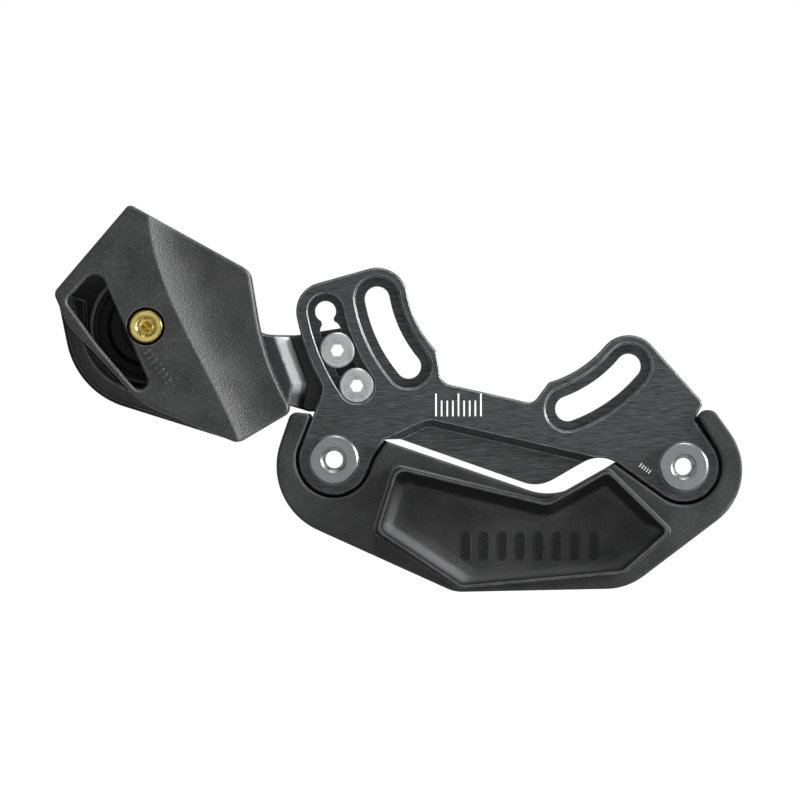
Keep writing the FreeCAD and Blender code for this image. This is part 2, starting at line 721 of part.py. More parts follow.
def turned_item(item):
    """A peg or corner in the arm's frame."""
    across, up = in_arm_frame((item[1], item[2]))
    return (item[0], across, up, item[3])


# Index holes that hold the arm, counted from the top, and the cage screws about the same axis.
ARM_HOLES = (2, 4)
ARM_EDGE = size("mount_circle") + 8.1
ARM_ROUND = 1.5
ARM_FIRST_ANGLE = 199.0
ARM_LAST_ANGLE = 219.5
SCREW_CIRCLE = 73.5
SCREW_ANGLES = {"cage_screw_upper": 193.0, "cage_screw_lower": 200.5}


def arm_polar(radius, degrees):
    """Expressions for a point given about the bottom bracket axis, in the arm's frame."""
    turn = "((%s - Sizes.arm_turn) * 1 deg)" % degrees
    return "%s * cos%s" % (radius, turn), "%s * sin%s" % (radius, turn)


def guide_arm():
    """Arm that steps outboard in one bend, from behind the plate to behind the guide."""
    body = new_body("guide_arm")
    bend = size("bend_start")
    run = size("bend_run")
    rise = size("arm_rise")
    thick = size("arm_thick")
    back = thick * math.tan(math.atan2(rise, run) / 2.0)
    far = math.hypot(*AXLE) + 20.0
    outline = [
        peg(AXLE, 8.5),
        corner(-53.4, -35.0, 1.0),
        corner(-38.0, -35.3, 3.0),
        peg(polar(ARM_EDGE + ARM_ROUND, ARM_LAST_ANGLE), ARM_ROUND),
        hollow(AXIS, ARM_EDGE),
        peg(polar(ARM_EDGE + ARM_ROUND, ARM_FIRST_ANGLE), ARM_ROUND),
        corner(-56.5, -15.55, 8.0),
        corner(-63.5, -15.5, 6.0),
    ]
    blank = outline_on(body, "ArmOutline", "-Sizes.arm_thick", [turned_item(item) for item in outline])
    pad(body, "ArmBlank", blank, "Sizes.arm_rise + Sizes.arm_thick")
    over_lower_end = [
        (far, 0.0, 0.0),
        (far, -rise - 1.0, 0.0),
        (-far, -rise - 1.0, 0.0),
        (-far, -rise, 0.0),
        (-run, -rise, 1.2),
        (0.0, 0.0, 0.8),
    ]
    under_raised_end = [
        (-far, thick - rise, 0.0),
        (-far, thick + 1.0, 0.0),
        (far, thick + 1.0, 0.0),
        (far, thick, 0.0),
        (-back, thick, 1.2),
        (-run - back, thick - rise, 0.8),
    ]
    kink = math.radians(size("bend_kink"))
    kink_at = size("bend_kink_at")
    places = [
        (1.0, Placement(Vector(-bend, 0, kink_at + 45.0), Rotation())),
        (
            1.0 / math.cos(kink / 2.0),
            Placement(Vector(-bend, 0, kink_at), Rotation(Vector(0, 1, 0), math.degrees(kink / 2.0))),
        ),
        (
            1.0,
            Placement(
                Vector(-bend - 40.0 * math.sin(kink), 0, kink_at - 40.0 * math.cos(kink)),
                Rotation(Vector(0, 1, 0), math.degrees(kink)),
            ),
        ),
    ]
    for name, step in (("StepOver", over_lower_end), ("StepUnder", under_raised_end)):
        levels = []
        for number, (stretch, place) in enumerate(places):
            level = body.newObject("Sketcher::SketchObject", "%sLevel%d" % (name, number))
            level.AttachmentSupport = [(origin_part(body, "XY_Plane"), "")]
            level.MapMode = "FlatFace"
            level.AttachmentOffset = place
            level.addGeometry(belt([corner(stretch * item[0], *item[1:]) for item in step]), False)
            levels.append(level)
        doc.recompute()
        before = body.Shape.Volume
        cut = body.newObject("PartDesign::SubtractiveLoft", name)
        cut.Profile = levels[0]
        cut.Sections = levels[1:]
        cut.Ruled = True
        doc.recompute()
        if not body.Shape.Volume < before - 1.0:
            raise RuntimeError("%s cuts nothing" % name)
    dress(body, "Chamfer", "ArmEdge", rim_edges(body.Shape, -0.1, rise + 0.1), "Sizes.arm_break")
    thread = "Sizes.arm_bolt_shank + 2 * Sizes.thread_gap"
    for hole in ARM_HOLES:
        angle = "(Sizes.index_start + %d * Sizes.index_step)" % hole
        across, up = arm_polar("Sizes.index_circle", angle)
        bore(body, "ArmThread%d" % hole, "0", thread, "Sizes.arm_thick", across, up)
    across = "Sizes.axle_x * cos(Sizes.arm_turn * 1 deg) + Sizes.axle_z * sin(Sizes.arm_turn * 1 deg)"
    up = "Sizes.axle_z * cos(Sizes.arm_turn * 1 deg) - Sizes.axle_x * sin(Sizes.arm_turn * 1 deg)"
    thread = "Sizes.cage_bolt_shank + 2 * Sizes.thread_gap"
    bore(body, "AxleThread", "Sizes.arm_rise", thread, "Sizes.arm_thick", across, up)
    thread = "Sizes.screw_shank + 2 * Sizes.thread_gap"
    for label, angle in SCREW_ANGLES.items():
        across, up = arm_polar("%g" % SCREW_CIRCLE, "%g" % angle)
        bore(body, label + "_thread", "Sizes.arm_rise", thread, "Sizes.arm_thick", across, up)
    body.Placement = Placement(Vector(0, 0, 0), Rotation(Vector(0, -1, 0), 0))
    body.setExpression("Placement.Rotation.Angle", "Sizes.arm_turn")
    return body


def arm_bolt(label, hole):
    """Flat-head bolt that sits in the index slot's recess and screws into the arm."""
    body = new_body(label)
    seat = "Sizes.plate_thick - Sizes.recess_deep"
    top = "Sizes.plate_thick - Sizes.fit_gap"
    tail = "Sizes.fit_gap - Sizes.arm_thick"
    disc(body, label + "_shank", tail, "Sizes.arm_bolt_shank", "%s - (%s)" % (seat, tail))
    disc(body, label + "_head", seat, "Sizes.arm_bolt_head", "Sizes.recess_deep - Sizes.fit_gap")
    doc.recompute()
    edges = edges_at(body.Shape, size("plate_thick") - size("fit_gap"))
    dress(body, "Chamfer", label + "_edge", edges, "Sizes.edge_break")
    key_socket(body, top, "arm_bolt_key", "%s - (%s)" % (top, tail))
    angle = "((Sizes.index_start + %d * Sizes.index_step) * 1 deg)" % hole
    place_at(body, "Sizes.index_circle * cos" + angle, "Sizes.index_circle * sin" + angle)
    return body


# Levels of the lower guide, out from the mounting plane.
INNER_FACE = "(Sizes.arm_rise + Sizes.cage_wall)"
OUTER_FACE = "(Sizes.arm_rise + Sizes.cage_wall + Sizes.cage_gap)"
MIDDLE = "(Sizes.arm_rise + Sizes.cage_wall + Sizes.cage_gap / 2)"
inner_face = size("arm_rise") + size("cage_wall")
outer_face = inner_face + size("cage_gap")
middle = inner_face + size("cage_gap") / 2.0

SKIRT_INNER = size("roller_round") + size("roller_gap")
CAGE_CORNER_LEFT = (-116.85, -5.25)
CAGE_CORNER_TOP = (-97.9, 17.0)
CAGE_CORNER_FRONT = (-68.0, 0.5)
CAGE_CORNER_LOW = (-70.9, -42.85)
CAGE_TIP_ANGLE = 209.35
CAGE_TIP_ROUND = 2.4
DOWEL_PLACE = (-75.6, -37.2)
# Ends of the outer half's straight lower rear edge.
CAGE_REAR = ((-113.5, -13.0), (-94.5, -33.2))


def cage_front(lead):
    """Front side of a cage half, from its lowest corner up past the chainring edge."""
    edge = size("cage_edge") - lead
    return [
        corner(CAGE_CORNER_LOW[0] + lead, CAGE_CORNER_LOW[1], 2.5),
        peg(polar(edge + CAGE_TIP_ROUND, CAGE_TIP_ANGLE), CAGE_TIP_ROUND),
        hollow(AXIS, edge),
        corner(CAGE_CORNER_FRONT[0] + lead, CAGE_CORNER_FRONT[1] - lead / 2.0, 4.0 - lead),
        corner(CAGE_CORNER_TOP[0], CAGE_CORNER_TOP[1], 1.5),
    ]


def skirt_belt(reach, left_end, low_end, low_inner):
    """Crescent that closes the guide round the lower rear of the roller."""
    return [
        corner(left_end[0], left_end[1], 0.6),
        peg(AXLE, reach),
        corner(low_end[0], low_end[1], 0.8),
        corner(low_inner[0], low_inner[1], 0.4),
        hollow(AXLE, SKIRT_INNER),
        corner(-109.6, -7.0, 0.4),
    ]


def lip_belt(reach):
    """Segment between the outer half's lower edge and the top of the skirt."""
    first, second = CAGE_REAR[0], CAGE_REAR[1]
    heading = math.atan2(second[1] - first[1], second[0] - first[0])
    ahead = (math.cos(heading), math.sin(heading))
    aside = (math.sin(heading), -math.cos(heading))
    across, up = AXLE[0] - first[0], AXLE[1] - first[1]
    along = across * ahead[0] + up * ahead[1]
    away = size("lip_gap") - (across * aside[0] + up * aside[1])
    half = math.sqrt(reach ** 2 - away ** 2) + 0.2
    foot = (AXLE[0] + away * aside[0], AXLE[1] + away * aside[1])
    return [
        corner(foot[0] - half * ahead[0], foot[1] - half * ahead[1], 0.3),
        peg(AXLE, reach),
        corner(foot[0] + half * ahead[0], foot[1] + half * ahead[1], 0.3),
    ]


def cage_inner():
    """Inner half of the lower guide: wall, sloped skirt with a lip, and locating post."""
    body = new_body("cage_inner")
    wall = [corner(*CAGE_CORNER_LEFT, 2.2), peg(AXLE, size("skirt_reach"))] + cage_front(size("cage_lead"))
    wall_outline = outline_on(body, "InnerWallOutline", "Sizes.arm_rise", wall)
    pad(body, "InnerWall", wall_outline, "Sizes.cage_wall")
    doc.recompute()
    foot_belt = skirt_belt(size("skirt_reach") - 0.3, (-116.4, -5.4), (-71.0, -42.6), (-69.6, -40.2))
    foot = outline_on(body, "SkirtFoot", "Sizes.arm_rise + Sizes.cage_wall / 2", foot_belt)
    crest_reach = SKIRT_INNER + size("skirt_wall")
    crest_belt = skirt_belt(crest_reach, (-112.2, -6.4), (-71.2, -41.6), (-70.4, -40.0))
    crest = outline_on(body, "SkirtCrest", OUTER_FACE + " - Sizes.fit_gap", crest_belt)
    skirt = body.newObject("PartDesign::AdditiveLoft", "Skirt")
    skirt.Profile = foot
    skirt.Sections = [crest]
    doc.recompute()
    lip = outline_on(body, "LipOutline", OUTER_FACE + " - 2 * Sizes.fit_gap", lip_belt(crest_reach - 0.1))
    pad(body, "Lip", lip, "Sizes.lip_tall + 2 * Sizes.fit_gap")
    doc.recompute()
    lip_top = edges_at(body.Shape, outer_face + size("lip_tall"))
    dress(body, "Chamfer", "LipEdge", lip_top, "Sizes.lip_break")
    across, up = "%g" % DOWEL_PLACE[0], "%g" % DOWEL_PLACE[1]
    post = circle_on(body, "PostOutline", INNER_FACE, across, up, "Sizes.dowel_post")
    pad(body, "Post", post, "Sizes.cage_gap - Sizes.fit_gap")
    pin = circle_on(body, "PinOutline", INNER_FACE, across, up, "Sizes.dowel")
    pad(body, "Pin", pin, "Sizes.cage_gap + Sizes.dowel_long")
    hole = "Sizes.cage_bolt_shank + 2 * Sizes.fit_gap"
    bore(body, "InnerAxleHole", INNER_FACE, hole, "Sizes.cage_wall", "Sizes.axle_x", "Sizes.axle_z")
    for label, angle in SCREW_ANGLES.items():
        place = polar(SCREW_CIRCLE, angle)
        across, up = "%g" % place[0], "%g" % place[1]
        hole = "Sizes.screw_shank + 2 * Sizes.fit_gap"
        bore(body, label + "_hole", INNER_FACE, hole, "Sizes.cage_wall", across, up)
        head = "Sizes.screw_head + 2 * Sizes.fit_gap"
        bore(body, label + "_cone", INNER_FACE, head, "Sizes.screw_head_deep", across, up, "-45")
    return body


# Ridge of the outer half's face: height and place along X, from the top to the bottom.
RIDGE = [(20.0, -93.2), (-5.2, -88.3), (-19.4, -81.6), (-46.0, -69.2)]


def cage_outer():
    """Outer half of the lower guide: raised flat, scooped face, window and bolt well."""
    body = new_body("cage_outer")
    rear = [
        corner(*CAGE_CORNER_LEFT, 2.2),
        corner(*CAGE_REAR[0], 8.0),
        corner(*CAGE_REAR[1], 20.0),
    ]
    blank = outline_on(body, "OuterOutline", OUTER_FACE, rear + cage_front(0.0))
    pad(body, "OuterBlank", blank, "Sizes.cage_high")
    doc.recompute()
    top = outer_face + size("cage_high")
    dress(body, "Fillet", "OuterEdge", edges_at(body.Shape, top), "Sizes.cage_round")

    drop = size("cage_high") - size("cage_low")
    wide = size("scoop_wide")
    bow = (wide * wide + drop * drop) / (2.0 * drop)
    low = outer_face + size("cage_low")
    levels = []
    for number, (height, ridge) in enumerate(RIDGE):
        level = body.newObject("Sketcher::SketchObject", "ScoopLevel%d" % number)
        level.AttachmentSupport = [(origin_part(body, "XY_Plane"), "")]
        level.MapMode = "FlatFace"
        level.AttachmentOffset = Placement(Vector(0, 0, height), Rotation())
        foot, end = (ridge + wide, -low), (-45.0, -low)
        level.addGeometry(
            [
                arc_between((ridge + wide, -low - bow), bow, (ridge, -top), foot, False),
                Part.LineSegment(Vector(foot[0], foot[1], 0), Vector(end[0], end[1], 0)),
                Part.LineSegment(Vector(end[0], end[1], 0), Vector(end[0], -top - 4.0, 0)),
                Part.LineSegment(Vector(end[0], -top - 4.0, 0), Vector(ridge, -top - 4.0, 0)),
                Part.LineSegment(Vector(ridge, -top - 4.0, 0), Vector(ridge, -top, 0)),
            ],
            False,
        )
        levels.append(level)
    before = body.Shape.Volume
    scoop = body.newObject("PartDesign::SubtractiveLoft", "Scoop")
    scoop.Profile = levels[0]
    scoop.Sections = levels[1:]
    doc.recompute()
    if not body.Shape.Volume < before - 1.0:
        raise RuntimeError("the scoop cuts nothing")
    side = rim_edges(body.Shape, outer_face + 0.5, top - 0.05)
    dress(body, "Fillet", "ScoopEdge", side, "Sizes.cage_round")

    window = [
        corner(-105.67, 1.52, 2.8),
        corner(-113.9, -7.3, 1.8),
        corner(-105.6, -18.6, 25.0),
        peg((-95.3, -27.4), 2.1),
    ]
    raised = OUTER_FACE + " + Sizes.cage_high"
    flat = outline_places(body.Shape, top)
    pocket(body, "Window", outline_on(body, "WindowOutline", raised, window), "Sizes.cage_high")
    fresh = [name for name in edges_at(body.Shape, top) if edge_place(body.Shape, name) not in flat]
    dress(body, "Chamfer", "WindowEdge", fresh, "Sizes.window_break")
    bore(
        body,
        "BoltWell",
        raised,
        "Sizes.cage_bolt_well",
        "Sizes.cage_bolt_head_tall",
        "Sizes.axle_x",
        "Sizes.axle_z",
    )
    hole = "Sizes.cage_bolt_shank + 2 * Sizes.fit_gap"
    bore(body, "OuterAxleHole", raised, hole, "Sizes.cage_high", "Sizes.axle_x", "Sizes.axle_z")
    across, up = "%g" % DOWEL_PLACE[0], "%g" % DOWEL_PLACE[1]
    socket = "Sizes.dowel + 2 * Sizes.fit_gap"
    depth = "Sizes.dowel_long + Sizes.fit_gap"
    bore(body, "DowelSocket", OUTER_FACE + " + " + depth, socket, depth, across, up)
    return body


def cage_bolt():
    """Socket-head bolt that clamps both cage halves on the sleeve, into the arm."""
    body = new_body("cage_bolt")
    seat = OUTER_FACE + " + Sizes.cage_high - Sizes.cage_bolt_head_tall"
    top = OUTER_FACE + " + Sizes.cage_high"
    tail = "(Sizes.arm_rise - Sizes.arm_thick - Sizes.bolt_tail)"
    disc(body, "CageBoltShank", tail, "Sizes.cage_bolt_shank", "%s - %s" % (seat, tail))
    disc(body, "CageBoltHead", seat, "Sizes.cage_bolt_head", "Sizes.cage_bolt_head_tall")
    doc.recompute()
    edges = edges_at(body.Shape, outer_face + size("cage_high"))
    dress(body, "Chamfer", "CageBoltEdge", edges, "Sizes.edge_break")
    bore(body, "CageBoltSink", top, "Sizes.cage_bolt_sink", "Sizes.cage_bolt_sink_deep", taper="-45")
    key_socket(body, top, "cage_bolt_key", "Sizes.cage_bolt_key_deep")
    floor = top + " - Sizes.cage_bolt_key_deep"
    bore(body, "CageBoltDrill", floor, "Sizes.cage_bolt_drill", "Sizes.cage_bolt_drill / 4", taper="-60")
    place_at(body, "Sizes.axle_x", "Sizes.axle_z")
    return body


def cage_screw(label, angle):
    """Flat-head screw that holds the inner half on the arm."""
    radius, shank = size("screw_head") / 2.0, size("screw_shank") / 2.0
    flush = inner_face - size("fit_gap")
    tail = size("arm_rise") - size("arm_thick") + size("fit_gap")
    profile = [
        corner(0.0, tail),
        corner(shank, tail),
        corner(shank, flush - (radius - shank)),
        corner(radius, flush),
        corner(0.0, flush),
    ]
    body = turned(label, profile)
    out = INNER_FACE + " - Sizes.fit_gap"
    hexes = outline_on(body, label + "_key", out, hexagon(size("screw_key")))
    pocket(body, label + "_socket", hexes, "Sizes.screw_head_deep - 0.3")
    turn = "(%g * 1 deg)" % angle
    place_at(body, "%g * cos%s" % (SCREW_CIRCLE, turn), "%g * sin%s" % (SCREW_CIRCLE, turn))
    return body


def on_axle(body):
    """Puts a piece of the roller on the axle."""
    place_at(body, "Sizes.axle_x", "Sizes.axle_z")
    return body


def axle_sleeve():
    """Flanged sleeve on the bolt: spaces the cage halves and carries the bearing."""
    body = new_body("axle_sleeve")
    disc(body, "SleeveBarrel", INNER_FACE, "Sizes.bearing_bore - 2 * Sizes.thread_gap", "Sizes.cage_gap")
    flange = "(Sizes.cage_gap - Sizes.bearing_wide) / 2"
    disc(body, "SleeveFlange", INNER_FACE, "Sizes.sleeve_flange", flange)
    hole = "Sizes.cage_bolt_shank + 2 * Sizes.fit_gap"
    bore(body, "SleeveBore", OUTER_FACE, hole, "Sizes.cage_gap")
    return on_axle(body)


def axle_spacer():
    """Ring between the bearing and the outer half."""
    body = new_body("axle_spacer")
    ring = "(Sizes.cage_gap - Sizes.bearing_wide) / 2"
    disc(body, "SpacerRing", OUTER_FACE + " - " + ring, "Sizes.sleeve_flange", ring)
    bore(body, "SpacerBore", OUTER_FACE, "Sizes.bearing_bore + Sizes.thread_gap", ring)
    return on_axle(body)


def ball_track(body):
    """Groove for the balls in a bearing race."""
    track = body.newObject("Sketcher::SketchObject", body.Label + "_track")
    track.AttachmentSupport = [(origin_part(body, "XY_Plane"), "")]
    track.MapMode = "FlatFace"
    track.addGeometry(Part.Circle(Vector(1, -1, 0), Vector(0, 0, 1), 1.0), False)
    track.addConstraint(Sketcher.Constraint("Radius", 0, 1.0))
    track.setExpression("Constraints[0]", "Sizes.ball_round + Sizes.ball_gap")
    track.addConstraint(Sketcher.Constraint("DistanceX", -1, 1, 0, 3, 1.0))
    track.setExpression("Constraints[1]", "Sizes.ball_circle / 2")
    track.addConstraint(Sketcher.Constraint("DistanceY", -1, 1, 0, 3, -1.0))
    track.setExpression("Constraints[2]", "-" + MIDDLE)
    doc.recompute()
    before = body.Shape.Volume
    cut = body.newObject("PartDesign::Groove", body.Label + "_groove")
    cut.Profile = track
    cut.ReferenceAxis = (track, ["V_Axis"])
    cut.Angle = 360.0
    doc.recompute()
    if not body.Shape.Volume < before - 0.1:
        raise RuntimeError("the ball track cuts nothing")


def bearing_race(label, inner, outer):
    """One race of the ball bearing."""
    half = size("bearing_wide") / 2.0
    profile = [
        corner(inner, middle - half),
        corner(outer, middle - half),
        corner(outer, middle + half),
        corner(inner, middle + half),
    ]
    body = turned(label, profile)
    ball_track(body)
    return on_axle(body)


def bearing_shield(label, side):
    """Thin ring that closes one side of the bearing; fixed to the outer race."""
    inner = size("bearing_bore") / 2.0 + size("race_wall_in") + 0.08
    outer = size("bearing_outer") / 2.0 - size("race_wall_out") - 0.02
    out = middle + side * (size("bearing_wide") / 2.0 - size("shield_thick"))
    half = size("shield_thick") / 2.0
    profile = [
        corner(inner, out - half),
        corner(outer, out - half),
        corner(outer, out + half),
        corner(inner, out + half),
    ]
    return on_axle(turned(label, profile))


def bearing_retainer():
    """Ring that keeps the balls apart."""
    half = size("ball_round") + 0.4
    inner = size("bearing_bore") / 2.0 + size("race_wall_in") + 0.2
    outer = size("bearing_outer") / 2.0 - size("race_wall_out") - 0.15
    profile = [
        corner(inner, middle - half),
        corner(outer, middle - half),
        corner(outer, middle + half),
        corner(inner, middle + half),
    ]
    body = turned("bearing_retainer", profile)
    seat = body.newObject("Sketcher::SketchObject", "BallSeat")
    seat.AttachmentSupport = [(origin_part(body, "YZ_Plane"), "")]
    seat.MapMode = "FlatFace"
    seat.addGeometry(Part.Circle(Vector(-middle, 0, 0), Vector(0, 0, 1), 1.0), False)
    seat.addConstraint(Sketcher.Constraint("Radius", 0, 1.0))
    seat.setExpression("Constraints[0]", "Sizes.ball_round + Sizes.ball_gap")
    doc.recompute()
    before = body.Shape.Volume
    window = body.newObject("PartDesign::Pocket", "BallWindow")
    window.Profile = seat
    window.Type = "Length"
    window.Reversed = True
    window.setExpression("Length", "Sizes.bearing_outer")
    doc.recompute()
    if not body.Shape.Volume < before - 0.1:
        raise RuntimeError("the ball window cuts nothing")
    windows = body.newObject("PartDesign::PolarPattern", "BallWindows")
    windows.Originals = [window]
    windows.Axis = (origin_part(body, "Y_Axis"), [""])
    windows.Angle = 360.0
    windows.Occurrences = int(size("ball_count"))
    body.Tip = windows
    doc.recompute()
    return on_axle(body)


def bearing_balls():
    """The bearing's balls, evenly spaced round the axle."""
    balls = []
    for number in range(int(size("ball_count"))):
        ball = doc.addObject("Part::Sphere", "Ball%d" % number)
        ball.setExpression("Radius", "Sizes.ball_round")
        turn = "(%d * 360 deg / Sizes.ball_count)" % number
        ball.setExpression("Placement.Base.x", "Sizes.axle_x + Sizes.ball_circle / 2 * cos" + turn)
        ball.setExpression("Placement.Base.z", "Sizes.axle_z - Sizes.ball_circle / 2 * sin" + turn)
        ball.setExpression("Placement.Base.y", "-" + MIDDLE)
        balls.append(ball)
    group = doc.addObject("Part::Compound", "bearing_balls")
    group.Label = "bearing_balls"
    group.Links = balls
    return group


def roller_hub():
    """Turned hub: bearing seat with a shoulder, thin web and rim."""
    half = size("hub_rim_wide") / 2.0
    rim = size("roller_round") - size("tyre_thick")
    well = rim - size("hub_rim")
    shoulder = size("hub_shoulder")
    seat = size("bearing_outer") / 2.0 + 0.02
    boss = seat + size("hub_wall")
    web = size("hub_web") / 2.0
    bearing = size("bearing_wide") / 2.0
    lip = bearing + 0.7
    profile = [
        corner(seat, middle - lip),
        corner(boss - 0.8, middle - lip),
        corner(boss, middle - lip + 0.8),
        corner(boss, middle - web, 0.4),
        corner(well, middle - web, 0.4),
        corner(well, middle - half),
        corner(rim, middle - half),
        corner(rim, middle + half),
        corner(well, middle + half),
        corner(well, middle + web, 0.4),
        corner(boss, middle + web, 0.4),
        corner(boss, middle + lip - 0.8),
        corner(boss - 0.8, middle + lip),
        corner(seat - shoulder, middle + lip),
        corner(seat - shoulder, middle + bearing),
        corner(seat, middle + bearing),
    ]
    return on_axle(turned("roller_hub", profile))


def roller_tyre():
    """Soft tyre that the chain runs on."""
    half = size("roller_wide") / 2.0
    inner = size("roller_round") - size("tyre_thick")
    profile = [
        corner(inner, middle - half),
        corner(size("roller_round"), middle - half, 0.5),
        corner(size("roller_round"), middle + half, 0.5),
        corner(inner, middle + half),
    ]
    return on_axle(turned("roller_tyre", profile))


inner_race_wall = size("bearing_bore") / 2.0 + size("race_wall_in")
outer_race_wall = size("bearing_outer") / 2.0 - size("race_wall_out")

PIECES = [
    back_plate(),
    bash_guard(),
    hollow_bolt("bash_bolt_rear", "rear_ear"),
    hollow_bolt("bash_bolt_front", "front_ear"),
    flanged_nut("bash_nut_rear", "rear_ear"),
    flanged_nut("bash_nut_front", "front_ear"),
    guide_arm(),
    arm_bolt("arm_bolt_upper", ARM_HOLES[0]),
    arm_bolt("arm_bolt_lower", ARM_HOLES[1]),
    cage_inner(),
    cage_outer(),
    cage_bolt(),
    axle_sleeve(),
    axle_spacer(),
    bearing_race("bearing_inner_race", size("bearing_bore") / 2.0, inner_race_wall),
    bearing_race("bearing_outer_race", outer_race_wall, size("bearing_outer") / 2.0),
    bearing_balls(),
    bearing_retainer(),
    bearing_shield("bearing_shield_inner", -1.0),
    bearing_shield("bearing_shield_outer", 1.0),
    roller_hub(),
    roller_tyre(),
]
for screw_label, screw_angle in SCREW_ANGLES.items():
    PIECES.append(cage_screw(screw_label, screw_angle))

doc.recompute()
faults = []
for item in doc.Objects:
    if "Invalid" in item.State or "Error" in item.State:
        faults.append("%s: %s" % (item.Name, item.State))
for piece in PIECES:
    if piece.Shape.isNull() or not piece.Shape.isValid():
        faults.append("%s has no sound shape" % piece.Label)
if faults:
    raise RuntimeError("; ".join(faults))

os.makedirs("parts", exist_ok=True)
for piece in PIECES:
    piece.Shape.exportStep("parts/%s.step" % piece.Label)
    box = piece.Shape.BoundBox
    print(
        "%-22s solids %d volume %9.1f out %6.2f to %6.2f"
        % (piece.Label, len(piece.Shape.Solids), piece.Shape.Volume, -box.YMax, -box.YMin)
    )
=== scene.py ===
"""Looks of a bicycle chain guide with a skid plate: finishes, small details, light and camera."""

import logging
import math
from dataclasses import dataclass, field, replace
from enum import Enum

import bmesh
import bpy
from mathutils import Matrix, Vector

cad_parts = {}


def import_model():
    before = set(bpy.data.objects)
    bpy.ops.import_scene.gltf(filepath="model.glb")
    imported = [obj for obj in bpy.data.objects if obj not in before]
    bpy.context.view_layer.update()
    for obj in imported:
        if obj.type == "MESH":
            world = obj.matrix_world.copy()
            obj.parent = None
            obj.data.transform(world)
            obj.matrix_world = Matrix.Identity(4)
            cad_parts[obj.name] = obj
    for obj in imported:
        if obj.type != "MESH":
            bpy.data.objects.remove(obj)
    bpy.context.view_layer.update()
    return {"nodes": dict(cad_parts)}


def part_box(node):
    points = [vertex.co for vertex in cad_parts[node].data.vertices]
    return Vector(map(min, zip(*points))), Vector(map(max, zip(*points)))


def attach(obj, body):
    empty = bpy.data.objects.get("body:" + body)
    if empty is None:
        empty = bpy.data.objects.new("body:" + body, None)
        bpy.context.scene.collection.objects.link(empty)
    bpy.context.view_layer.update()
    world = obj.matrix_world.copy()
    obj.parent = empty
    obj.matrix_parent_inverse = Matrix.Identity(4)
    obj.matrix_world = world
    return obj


LOG = logging.getLogger("chain_guide")
MM = 0.001
Colour = tuple[float, float, float]
Place = tuple[float, float, float]
Range = tuple[float, float]
Value = bpy.types.NodeSocket | float | Colour


# Node helpers


